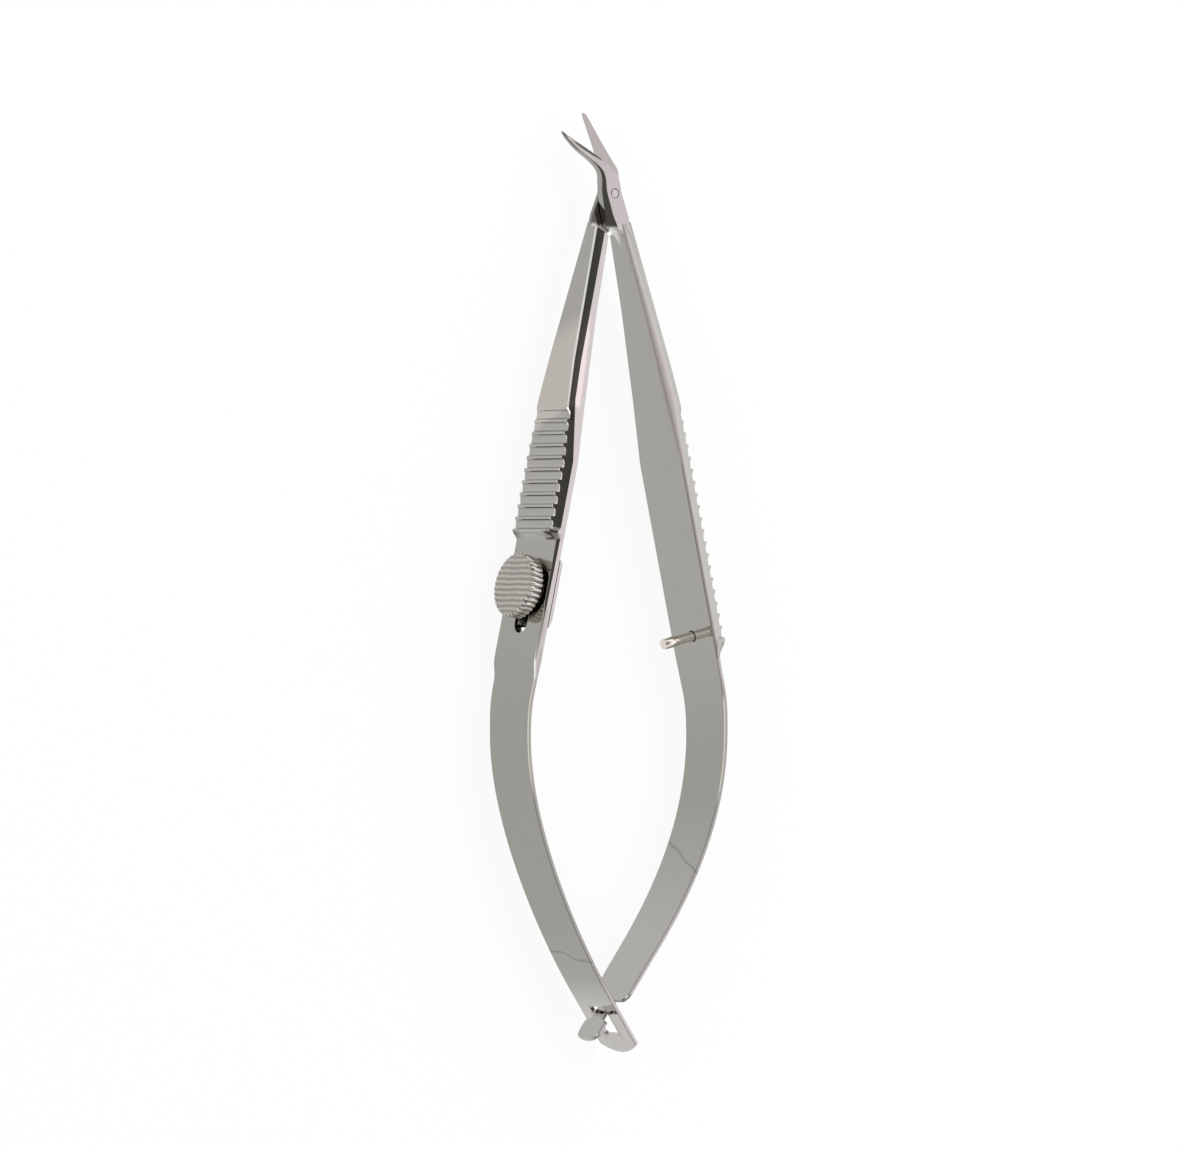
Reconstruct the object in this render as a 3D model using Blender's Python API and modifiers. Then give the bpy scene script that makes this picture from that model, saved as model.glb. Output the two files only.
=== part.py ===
"""Spring-handle micro scissors with angled blades, lying on their back edges.

X is across the handles, Y runs along the tool with the blades at +Y, and Z is up.
Y = 0 is half way along the tool, and Z = 0 is the surface that it lies on.
Both arms cross at the pivot, so squeezing the handles closes the blades.
Shapes are worked out round the pivot: "down" is the distance from it along an arm.
"""

import math

import bmesh
import bpy
from mathutils import Matrix, Vector
from mathutils.geometry import interpolate_bezier

MM = 0.001

# Clearances
LAP_GAP = 0.12 * MM         # between the two lapped heads
FIT_GAP = 0.06 * MM         # round a pin in its hole
SLIDE_GAP = 0.10 * MM       # between the slide's pieces and the arm
SPLIT_GAP = 0.30 * MM       # where a rigid arm hands over to its bending leaf
STOP_GAP = 0.80 * MM        # left between the stop pin and the slide plate when closed

# How the arms stand
ARM_ANGLE = math.radians(12.8)      # of each open arm to the long axis
CLOSE_ANGLE = math.radians(19.5)    # one arm to the other, from open to closed
FACE_OFFSET = 0.20 * MM             # inner face's line to the pivot's axis
LEFT_TAIL_ANGLE = math.radians(34.3)    # of the tail with the window, to the long axis
RIGHT_TAIL_ANGLE = math.radians(35.9)   # of the tail with the tongue

# Places along an arm, from the pivot
SHOULDER_DOWN = 3.6 * MM
SWELL_DOWN = 19.7 * MM
FLARE_DOWN = 24.0 * MM      # where the handle widens faster
RIDGES_DOWN = 26.3 * MM     # the first groove
FULL_WIDTH_DOWN = 31.0 * MM
KNOB_DOWN = 45.45 * MM
STOP_PIN_DOWN = 50.8 * MM

# Band of the arms: width is along Z, thickness is across the handles
NECK_WIDTH = 2.5 * MM
FLARE_WIDTH = 6.35 * MM
PAD_WIDTH = 8.0 * MM
BOW_WIDTH = 7.45 * MM
TAIL_WIDTH = 6.9 * MM
NECK_THICKNESS = 1.42 * MM
SWELL_THICKNESS = 2.19 * MM
PAD_THICKNESS = 2.1 * MM
SLIDE_AREA_THICKNESS = 0.95 * MM
LEAF_THICKNESS = 0.50 * MM
EDGE_BREAK = 0.10 * MM      # on the inner face's edges
NECK_CHAMFER = (1.12 * MM, 0.47 * MM)       # depth into the thickness, run across the width
SWELL_CHAMFER = (0.88 * MM, 0.50 * MM)
FLARE_CHAMFER = (0.78 * MM, 0.38 * MM)
PAD_CHAMFER = (1.36 * MM, 0.70 * MM)
SLIDE_AREA_CHAMFER = (0.75 * MM, 0.42 * MM)
LEAF_CHAMFER = (0.10 * MM, 0.10 * MM)
FACET = 0.26 * MM           # of the narrow facet between the outer face and its chamfer
NECK_INSET = 0.30 * MM      # that the inner face comes in by at the shoulder
NECK_INSET_END = 13.3 * MM  # down the arm, where the inner face is on its line again

# Finger ridges on the outer faces
RIDGE_PITCH = 1.385 * MM
RIDGE_HEIGHT = 0.40 * MM
FIRST_RIDGE_SHARE = 0.6     # of that height at the first ridge, growing to all of it at full width
GROOVE_FALL = 0.20 * MM     # more that a groove drops by at the chamfer
LEFT_RIDGES = 10
RIGHT_RIDGES = 19
RIDGE_SHAPE = ((0.0, 0.0), (0.14, 1.0), (0.34, 0.92), (0.62, 0.15), (1.0, 0.0))  # share of pitch, of height
PAD_RUN_OUT = 1.1 * MM      # the slope from the last ridge to the thinner band

# Leaf springs and their tails
LEAF_START = 0.88 * MM          # of the even leaf below the end of the right arm's ridges and their slope
LEAF_TAPER = 2.4 * MM           # over which the left arm thins to its leaf, below that start
FLEX_START = 3.8 * MM           # of the line that a leaf bends from, below the start of the leaf
BOW_HALF_GAP = 13.25 * MM       # inner face to the middle, at the widest
BOW_DOWN = 60.5 * MM            # of the widest point below the pivot, along Y
CROSSING_DOWN = 91.45 * MM      # of the point where the tails cross, along Y
CROSSING_LEFT = 1.04 * MM       # of that point to the left of the pivot
LEFT_STRAIGHT = 3.1 * MM        # straight stretch of a tail above the crossing
RIGHT_STRAIGHT = 5.9 * MM
LEFT_CURVE = (10.6 * MM, 5.7 * MM)      # how far a leaf leans on its direction at the bow and at the tail
RIGHT_CURVE = (12.5 * MM, 4.4 * MM)
TAIL_THICKNESS = 0.45 * MM
WINDOW_TOP = 0.95 * MM          # of the window above the crossing
WINDOW_LENGTH = 3.85 * MM
WINDOW_WIDTH = 2.75 * MM
WINDOW_END = 5.3 * MM           # of the left tail beyond the crossing
WINDOW_END_RADIUS = 6.0 * MM
TONGUE_NECK_WIDTH = 2.1 * MM
TONGUE_SHOULDER = 1.57 * MM     # of the shoulders above the crossing
TONGUE_NECK_END = 1.00 * MM     # beyond the crossing
TONGUE_WIDTH = 4.0 * MM
TONGUE_END = 3.7 * MM

# Lapped heads, blades and pivot screw
HEAD_THICKNESS = 1.10 * MM      # of each head at the pivot, with half the lap gap
BLADE_THICKNESS = 0.80 * MM
TIP_THICKNESS = 0.30 * MM
EDGE_THICKNESS = 0.07 * MM
INNER_CHAMFER_FALL = 0.28       # of the wide chamfer on a head's inner side, as a share of its run
LAP_CUT_ANGLE = math.radians(35.0)
LAP_CUT_AT = (2.2 * MM, -3.9 * MM)      # a point on the right arm's shoulder cut
SCREW_RADIUS = 0.50 * MM
SCREW_HEAD_RADIUS = 0.80 * MM
SCREW_HEAD_DEPTH = 0.35 * MM
SCREW_SLOT_WIDTH = 0.22 * MM
SCREW_SLOT_DEPTH = 0.15 * MM

# Stop pin on the right arm
PIN_RADIUS = 0.62 * MM
PIN_SEAT_DEPTH = 0.45 * MM
PIN_CHAMFER = 0.15 * MM

# Thumb slide on the left arm
SLIDE_TRAVEL = 3.9 * MM
SLOT_WIDTH = 2.4 * MM
STUD_END_RADIUS = 0.80 * MM
KNOB_RADIUS = 3.6 * MM
KNOB_THICKNESS = 1.45 * MM
KNOB_TEETH = 35
KNOB_TOOTH_DEPTH = 0.16 * MM
KNOB_GROOVES = 11
KNOB_GROOVE_DEPTH = 0.16 * MM
COLLAR_RADIUS = 2.3 * MM
COLLAR_THICKNESS = 0.35 * MM
SLIDE_PLATE_THICKNESS = 0.36 * MM
SLIDE_PLATE_SLOPE = 1.2 * MM      # length of the slope at each of the plate's ends
SLIDE_PLATE_UP = 2.9 * MM       # of the plate's upper end from the stud
SLIDE_PLATE_DOWN = 4.75 * MM    # of its lower end

ROUND_STEPS = 32        # facets round a turned piece or a bore
CUTTER_REACH = 12.0 * MM    # of the lap's cutter past the heads
SHARP_ANGLE = math.radians(28)

MIDDLE = PAD_WIDTH / 2
DOWN_ARM = Vector((math.sin(ARM_ANGLE), -math.cos(ARM_ANGLE), 0))
OUT_OF_ARM = Vector((math.cos(ARM_ANGLE), math.sin(ARM_ANGLE), 0))
LAST_CREST_DOWN = RIDGES_DOWN + (RIGHT_RIDGES - 1 + RIDGE_SHAPE[1][0]) * RIDGE_PITCH
LEAF_DOWN = LAST_CREST_DOWN + PAD_RUN_OUT + LEAF_START
FLEX_DOWN = LEAF_DOWN + FLEX_START
LEAF_WIDTHS = ((LEAF_DOWN, PAD_WIDTH), (BOW_DOWN, BOW_WIDTH), (CROSSING_DOWN, TAIL_WIDTH))

# Outlines of the heads round the pivot, from the arm to the blade's tip: the left edge, the right
# edge, and the run of the chamfer along each. Both blades lean to the left.
FRONT_HEAD = (
    ((1.78, -6.5), (3.05, -6.2), 0.10, 0.40),
    ((1.52, -5.2), (2.85, -5.2), 0.10, 0.42),
    ((-0.85, -3.7), (2.50, -4.2), 1.22, 0.45),
    ((-1.22, -2.4), (2.05, -2.4), 0.92, 0.40),
    ((-1.63, 0.0), (1.18, 0.0), 0.60, 0.34),
    ((-1.68, 1.7), (0.72, 1.7), 0.42, 0.32),
    ((-1.98, 2.6), (0.10, 2.75), 0.32, 0.40),
    ((-2.60, 3.25), (-0.80, 3.57), 0.24, 0.55),
    ((-3.34, 3.80), (-1.94, 4.30), 0.20, 0.72),
    ((-4.85, 4.81), (-3.93, 5.37), 0.18, 0.57),
    ((-6.10, 5.95), (-5.73, 6.36), 0.12, 0.30),
    ((-6.63, 6.65), (-6.55, 6.85), 0.04, 0.08),
)
BACK_HEAD = (
    ((-3.05, -6.2), (-1.78, -6.5), 0.40, 0.10),
    ((-2.85, -5.2), (-1.52, -5.2), 0.42, 0.10),
    ((-2.50, -4.2), (0.85, -3.7), 0.45, 1.22),
    ((-2.13, -2.4), (1.22, -2.4), 0.40, 0.92),
    ((-1.12, 0.0), (1.50, 0.0), 0.30, 0.60),
    ((-1.18, 1.7), (1.36, 1.7), 0.40, 0.42),
    ((-1.42, 3.1), (1.18, 2.7), 0.60, 0.32),
    ((-1.94, 4.4), (0.33, 3.85), 0.85, 0.24),
    ((-2.50, 5.8), (-0.88, 5.5), 0.75, 0.20),
    ((-3.10, 7.25), (-2.16, 7.35), 0.48, 0.16),
    ((-3.60, 8.5), (-3.02, 8.6), 0.24, 0.10),
    ((-3.68, 8.85), (-3.46, 8.93), 0.08, 0.04),
)
FRONT_EDGE_STARTS = 5       # the station at which a head's chamfer begins to thin to a cutting edge

TAIL_TIP_DOWN = CROSSING_DOWN + WINDOW_END * math.cos(LEFT_TAIL_ANGLE)
PIVOT_ABOVE_CENTRE = (TAIL_TIP_DOWN - BACK_HEAD[-1][1][1] * MM) / 2
PIVOT = Vector((0, PIVOT_ABOVE_CENTRE, MIDDLE))


def clear_scene():
    for obj in list(bpy.data.objects):
        bpy.data.objects.remove(obj, do_unlink=True)


def new_collection(name, hidden=False):
    collection = bpy.data.collections.new(name)
    collection.hide_render = hidden
    bpy.context.scene.collection.children.link(collection)
    return collection


def steel(name, colour, roughness):
    material = bpy.data.materials.new(name)
    material.use_nodes = True
    shader = material.node_tree.nodes["Principled BSDF"]
    shader.inputs["Base Color"].default_value = (*colour, 1)
    shader.inputs["Roughness"].default_value = roughness
    shader.inputs["Metallic"].default_value = 1.0
    return material


def make_object(name, bm, collection, material=None, origin=None):
    """Turns a bmesh whose points are measured from the pivot into an object with its own origin."""
    origin = origin or Vector()
    bmesh.ops.recalc_face_normals(bm, faces=bm.faces)
    bmesh.ops.translate(bm, verts=bm.verts, vec=-origin)
    mesh = bpy.data.meshes.new(name)
    bm.to_mesh(mesh)
    bm.free()
    obj = bpy.data.objects.new(name, mesh)
    obj.location = PIVOT + origin
    collection.objects.link(obj)
    if material:
        mesh.materials.append(material)
        mesh.shade_smooth()
        mesh.set_sharp_from_angle(angle=SHARP_ANGLE)
    else:
        obj.display_type = "WIRE"
        obj.hide_render = True
    return obj


def loft(rings):
    """Closes a row of rings, each with as many points, into one solid."""
    bm = bmesh.new()
    rows = [[bm.verts.new(point) for point in ring] for ring in rings]
    for lower, upper in zip(rows, rows[1:]):
        for i in range(len(lower)):
            j = (i + 1) % len(lower)
            bm.faces.new((lower[i], lower[j], upper[j], upper[i]))
    bm.faces.new(rows[0])
    bm.faces.new(rows[-1])
    return bm


def combine(obj, other, operation):
    modifier = obj.modifiers.new(f"{operation.title()} {other.name}", "BOOLEAN")
    modifier.operation = operation
    modifier.solver = "EXACT"
    modifier.object = other


def between(stations, place):
    """Reads a value, or a pair of values, off a row of (place, value) stations."""
    if place <= stations[0][0]:
        return stations[0][1]
    for (start, first), (end, last) in zip(stations, stations[1:]):
        if place <= end:
            share = (place - start) / (end - start)
            if isinstance(first, tuple):
                return tuple(a + (b - a) * share for a, b in zip(first, last))
            return first + (last - first) * share
    return stations[-1][1]


def band_section(foot, outward, width, thickness, chamfer, raised=1.0, inset=0.0):
    """One ring of an arm: foot is on its inner face's line, and raised is 1 on a crest and 0 in a groove."""
    depth, run = chamfer
    half = width / 2
    facet = min(FACET, depth / 3, run / 2)
    corner = half - run
    inside = corner / 2
    ground = thickness - RIDGE_HEIGHT
    fall = GROOVE_FALL / (corner - inside)
    columns = []
    for z, crest in ((inside, thickness), (corner, thickness), (corner + facet, thickness - facet)):
        groove = min(ground - fall * (z - inside), crest)
        columns.append((z, groove + raised * (crest - groove)))
    columns.append((half, thickness - depth))
    side = [(half, EDGE_BREAK - inset), (half - EDGE_BREAK, -inset)]
    profile = columns + side
    profile += [(-z, n) for z, n in reversed(profile)]
    return [foot + outward * n + Vector((0, 0, z)) for z, n in profile]


def pad_end(ridges):
    """Where the last ridge's crest is, down the arm."""
    return LAST_CREST_DOWN - (RIGHT_RIDGES - ridges) * RIDGE_PITCH


def ridge_height(down, ridges):
    """How far the outer face is raised there, as a share of a ridge's height."""
    pitches = (down - RIDGES_DOWN) / RIDGE_PITCH
    if pitches < RIDGE_SHAPE[1][0] - 1 or down > pad_end(ridges):
        return 1.0
    share = between(((RIDGES_DOWN, FIRST_RIDGE_SHARE), (FULL_WIDTH_DOWN, 1.0)), down)
    return 1.0 - share * (1.0 - between(RIDGE_SHAPE, pitches % 1.0))


def arm_stations(ridges):
    """Distances down an arm at which it has a ring."""
    shares = [share for share, _ in RIDGE_SHAPE[:-1]]
    places = [SHOULDER_DOWN, NECK_INSET_END, FLARE_DOWN, FULL_WIDTH_DOWN, LEAF_DOWN, LEAF_DOWN + LEAF_TAPER]
    places += [SHOULDER_DOWN + (SWELL_DOWN - SHOULDER_DOWN) * i / 5 for i in range(1, 6)]
    places += [RIDGES_DOWN + RIDGE_PITCH * (share - 1) for share in shares[1:]]
    places += [RIDGES_DOWN + RIDGE_PITCH * (i + share) for i in range(ridges - 1) for share in shares]
    places += [RIDGES_DOWN + RIDGE_PITCH * (ridges - 1)]
    places += [pad_end(ridges) + PAD_RUN_OUT * share for share in (0, 0.3, 0.65, 1)]
    places.append(FLEX_DOWN - SPLIT_GAP / 2)
    return sorted(set(places))


def arm_band(side, ridges, thin_thickness, thin_chamfer):
    """The arm from its shoulder to the flex line; side is 1 for the right arm and -1 for the left."""
    run_out = pad_end(ridges) + PAD_RUN_OUT
    widths = ((SHOULDER_DOWN, NECK_WIDTH), (FLARE_DOWN, FLARE_WIDTH), (FULL_WIDTH_DOWN, PAD_WIDTH))
    widths += LEAF_WIDTHS
    thicknesses = (
        (SHOULDER_DOWN, NECK_THICKNESS),
        (SWELL_DOWN, SWELL_THICKNESS),
        (FLARE_DOWN, SWELL_THICKNESS),
        (FULL_WIDTH_DOWN, PAD_THICKNESS),
        (pad_end(ridges), PAD_THICKNESS),
        (run_out, thin_thickness),
        (LEAF_DOWN, thin_thickness),
        (LEAF_DOWN + LEAF_TAPER, LEAF_THICKNESS),
    )
    insets = ((SHOULDER_DOWN, NECK_INSET), (NECK_INSET_END, 0.0))
    chamfers = (
        (SHOULDER_DOWN, NECK_CHAMFER),
        (SWELL_DOWN, SWELL_CHAMFER),
        (FLARE_DOWN, FLARE_CHAMFER),
        (FULL_WIDTH_DOWN, PAD_CHAMFER),
        (pad_end(ridges), PAD_CHAMFER),
        (run_out, thin_chamfer),
        (LEAF_DOWN, LEAF_CHAMFER),
    )
    rings = []
    for down in arm_stations(ridges):
        foot = DOWN_ARM * down + OUT_OF_ARM * FACE_OFFSET
        rings.append(
            band_section(
                foot,
                OUT_OF_ARM,
                between(widths, down),
                between(thicknesses, down),
                between(chamfers, down),
                ridge_height(down, ridges),
                between(insets, down),
            )
        )
    return loft([[Vector((side * p.x, p.y, p.z)) for p in ring] for ring in rings])


def head(stations, front):
    """A lapped head and its blade, as a loft from inside the arm to the tip."""
    rings = []
    last = len(stations) - 1
    for i, (left, right, left_chamfer, right_chamfer) in enumerate(stations):
        left = Vector(left) * MM
        right = Vector(right) * MM
        if i <= FRONT_EDGE_STARTS:
            depth = between(((-5.3 * MM, NECK_WIDTH / 2), (0, HEAD_THICKNESS)), left.y)
        else:
            share = (i - FRONT_EDGE_STARTS) / (last - FRONT_EDGE_STARTS)
            depth = between(((0, HEAD_THICKNESS), (0.5, BLADE_THICKNESS), (1, TIP_THICKNESS)), share)
        across = (right - left).normalized()
        left_in = left + across * left_chamfer * MM
        right_in = right - across * right_chamfer * MM
        lap = LAP_GAP / 2
        left_fall, right_fall = (INNER_CHAMFER_FALL, 1) if front else (1, INNER_CHAMFER_FALL)
        left_top = max(depth - left_fall * left_chamfer * MM, 2 * lap)
        right_top = max(depth - right_fall * right_chamfer * MM, 2 * lap)
        if i > FRONT_EDGE_STARTS and front:
            right_top = lap + EDGE_THICKNESS
        if i > FRONT_EDGE_STARTS and not front:
            left_top = lap + EDGE_THICKNESS
        profile = [(left, lap), (right, lap), (right, right_top), (right_in, depth)]
        profile += [(left_in, depth), (left, left_top)]
        up = 1 if front else -1
        rings.append([Vector((p.x, p.y, up * z)) for p, z in profile])
    return loft(rings)


def box_between(low, high):
    bm = bmesh.new()
    bmesh.ops.create_cube(bm, size=1)
    low = Vector(low)
    high = Vector(high)
    bmesh.ops.scale(bm, verts=bm.verts, vec=high - low)
    bmesh.ops.translate(bm, verts=bm.verts, vec=(low + high) / 2)
    return bm


def cylinder(radius, low, high):
    bm = bmesh.new()
    bmesh.ops.create_cone(
        bm, cap_ends=True, segments=ROUND_STEPS, radius1=radius, radius2=radius, depth=high - low
    )
    bmesh.ops.translate(bm, verts=bm.verts, vec=(0, 0, (low + high) / 2))
    return bm


def move_to(bm, matrix):
    bmesh.ops.transform(bm, matrix=matrix, verts=bm.verts)
    return bm


def turned(name, profile, collection, material):
    """A turned piece round its own Z axis; the profile runs down its outer side, top to bottom."""
    mesh = bpy.data.meshes.new(name)
    points = [(radius, 0, height) for radius, height in profile]
    mesh.from_pydata(points, [(i, i + 1) for i in range(len(points) - 1)], [])
    obj = bpy.data.objects.new(name, mesh)
    collection.objects.link(obj)
    mesh.materials.append(material)
    screw = obj.modifiers.new("Turn", "SCREW")
    screw.steps = ROUND_STEPS
    screw.render_steps = ROUND_STEPS
    screw.use_merge_vertices = True
    screw.merge_threshold = 0.00001
    screw.use_smooth_shade = False
    return obj


def lap_cutter(side, cutters):
    """Takes half the depth off an arm above its slanted shoulder, to make room for the other head."""
    low_z, high_z = (-CUTTER_REACH, LAP_GAP / 2) if side > 0 else (-LAP_GAP / 2, CUTTER_REACH)
    bm = box_between((-CUTTER_REACH, 0, low_z), (CUTTER_REACH, CUTTER_REACH, high_z))
    bmesh.ops.rotate(bm, verts=bm.verts, matrix=Matrix.Rotation(side * LAP_CUT_ANGLE, 3, "Z"))
    bmesh.ops.translate(bm, verts=bm.verts, vec=(side * LAP_CUT_AT[0], LAP_CUT_AT[1], 0))
    return make_object(f"cut_lap_{'right' if side > 0 else 'left'}", bm, cutters)


def right_arm(parts, cutters):
    material = steel("right_arm_steel", (0.68, 0.65, 0.64), 0.22)
    bm = arm_band(1, RIGHT_RIDGES, LEAF_THICKNESS, LEAF_CHAMFER)
    arm = make_object("right_arm", bm, parts, material)
    front = make_object("join_front_head", head(FRONT_HEAD, True), cutters)
    combine(arm, lap_cutter(1, cutters), "DIFFERENCE")
    combine(arm, front, "UNION")
    bore = cylinder(SCREW_RADIUS + FIT_GAP, -2 * HEAD_THICKNESS, 2 * HEAD_THICKNESS)
    combine(arm, make_object("cut_right_bore", bore, cutters), "DIFFERENCE")
    seat = move_to(cylinder(PIN_RADIUS + FIT_GAP, -PIN_SEAT_DEPTH - FIT_GAP, PIN_RADIUS), pin_frame())
    combine(arm, make_object("cut_pin_seat", seat, cutters), "DIFFERENCE")
    return arm


def pin_frame():
    """Z runs out of the right arm's inner face, square to it, from the stop pin's foot."""
    foot = DOWN_ARM * STOP_PIN_DOWN + OUT_OF_ARM * FACE_OFFSET
    turn = Vector((0, 0, 1)).rotation_difference(-OUT_OF_ARM)
    return Matrix.Translation(foot) @ turn.to_matrix().to_4x4()


def stop_pin_length():
    """The room between the arms at the pin when they are closed, less what the slide plate takes."""
    half = ARM_ANGLE - CLOSE_ANGLE / 2
    between_arms = 2 * (STOP_PIN_DOWN * math.sin(half) + FACE_OFFSET * math.cos(half))
    return between_arms - SLIDE_GAP - SLIDE_PLATE_THICKNESS - STOP_GAP


def stop_pin(parts):
    material = steel("stop_pin_steel", (0.62, 0.60, 0.58), 0.25)
    length = stop_pin_length()
    profile = (
        (0, length),
        (PIN_RADIUS - PIN_CHAMFER, length),
        (PIN_RADIUS, length - PIN_CHAMFER),
        (PIN_RADIUS, -PIN_SEAT_DEPTH),
        (0, -PIN_SEAT_DEPTH),
    )
    pin = turned("stop_pin", profile, parts, material)
    pin.matrix_world = Matrix.Translation(PIVOT) @ pin_frame()
    return pin


def pivot_screw(parts, cutters):
    material = steel("pivot_screw_steel", (0.70, 0.66, 0.60), 0.30)
    profile = (
        (0, HEAD_THICKNESS),
        (SCREW_RADIUS, HEAD_THICKNESS),
        (SCREW_RADIUS, SCREW_HEAD_DEPTH - HEAD_THICKNESS),
        (SCREW_HEAD_RADIUS, SCREW_HEAD_DEPTH - HEAD_THICKNESS),
        (SCREW_HEAD_RADIUS, -HEAD_THICKNESS),
        (0, -HEAD_THICKNESS),
    )
    screw = turned("pivot_screw", profile, parts, material)
    screw.location = PIVOT
    low = (-SCREW_HEAD_RADIUS * 2, -SCREW_SLOT_WIDTH / 2, -2 * HEAD_THICKNESS)
    high = (SCREW_HEAD_RADIUS * 2, SCREW_SLOT_WIDTH / 2, SCREW_SLOT_DEPTH - HEAD_THICKNESS)
    combine(screw, make_object("cut_screw_slot", box_between(low, high), cutters), "DIFFERENCE")
    return screw


def slide_slot():
    """The long hole that the thumb slide's stud runs in, with round ends."""
    radius = SLOT_WIDTH / 2
    deep = SLIDE_AREA_THICKNESS * 3
    outline = []
    for centre, first in ((0, 0), (-SLIDE_TRAVEL, math.pi)):
        for i in range(13):
            angle = first + math.pi * i / 12
            outline.append((radius * math.cos(angle), centre + radius * math.sin(angle)))
    return loft([[Vector((x, t, z)) for z, t in outline] for x in (-deep, deep)])


def left_arm(parts, cutters):
    material = steel("left_arm_steel", (0.60, 0.58, 0.54), 0.22)
    bm = arm_band(-1, LEFT_RIDGES, SLIDE_AREA_THICKNESS, SLIDE_AREA_CHAMFER)
    arm = make_object("left_arm", bm, parts, material)
    back = make_object("join_back_head", head(BACK_HEAD, False), cutters)
    combine(arm, lap_cutter(-1, cutters), "DIFFERENCE")
    combine(arm, back, "UNION")
    bore = cylinder(SCREW_RADIUS + FIT_GAP, -2 * HEAD_THICKNESS, 2 * HEAD_THICKNESS)
    combine(arm, make_object("cut_left_bore", bore, cutters), "DIFFERENCE")
    seat_top = SCREW_HEAD_DEPTH - HEAD_THICKNESS + FIT_GAP
    seat = cylinder(SCREW_HEAD_RADIUS + FIT_GAP, -2 * HEAD_THICKNESS, seat_top)
    combine(arm, make_object("cut_screw_seat", seat, cutters), "DIFFERENCE")
    slot = move_to(slide_slot(), slide_frame())
    combine(arm, make_object("cut_slide_slot", slot, cutters), "DIFFERENCE")
    return arm


def slide_frame():
    """Axes of the left arm, at the stud's place on its inner face, measured from the pivot."""
    out = Vector((-OUT_OF_ARM.x, OUT_OF_ARM.y, 0))
    up_arm = Vector((DOWN_ARM.x, -DOWN_ARM.y, 0))
    axes = Matrix((out, up_arm, out.cross(up_arm))).transposed().to_4x4()
    return Matrix.Translation(out * FACE_OFFSET - up_arm * KNOB_DOWN) @ axes


def knurled_disc():
    """The knob's rim: teeth round the disc, with both rims broken."""
    outline = []
    for i in range(KNOB_TEETH):
        for share, dip in ((0.0, 1.0), (0.3, 0.0), (0.7, 0.0)):
            angle = 2 * math.pi * (i + share) / KNOB_TEETH
            radius = KNOB_RADIUS - KNOB_TOOTH_DEPTH * dip
            outline.append((radius * math.cos(angle), radius * math.sin(angle)))
    rim = KNOB_TOOTH_DEPTH
    layers = ((0, 1 - rim / KNOB_RADIUS), (rim, 1), (KNOB_THICKNESS - rim, 1))
    layers += ((KNOB_THICKNESS, 1 - rim / KNOB_RADIUS),)
    return loft([[Vector((x, t * scale, z * scale)) for z, t in outline] for x, scale in layers])


def face_grooves():
    """V grooves across the knob's face, as one cutter of separate bars."""
    bm = bmesh.new()
    pitch = 2 * KNOB_RADIUS / (KNOB_GROOVES + 0.5)
    half = 0.42 * pitch
    for i in range(KNOB_GROOVES):
        centre = (i - (KNOB_GROOVES - 1) / 2) * pitch
        section = (
            (KNOB_THICKNESS - KNOB_GROOVE_DEPTH, centre),
            (KNOB_THICKNESS + KNOB_GROOVE_DEPTH, centre + 2 * half),
            (KNOB_THICKNESS + KNOB_GROOVE_DEPTH, centre - 2 * half),
        )
        rows = [[bm.verts.new((x, t, z)) for x, t in section] for z in (-2 * KNOB_RADIUS, 2 * KNOB_RADIUS)]
        for a in range(3):
            b = (a + 1) % 3
            bm.faces.new((rows[0][a], rows[0][b], rows[1][b], rows[1][a]))
        bm.faces.new(rows[0])
        bm.faces.new(rows[1])
    return bm


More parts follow.
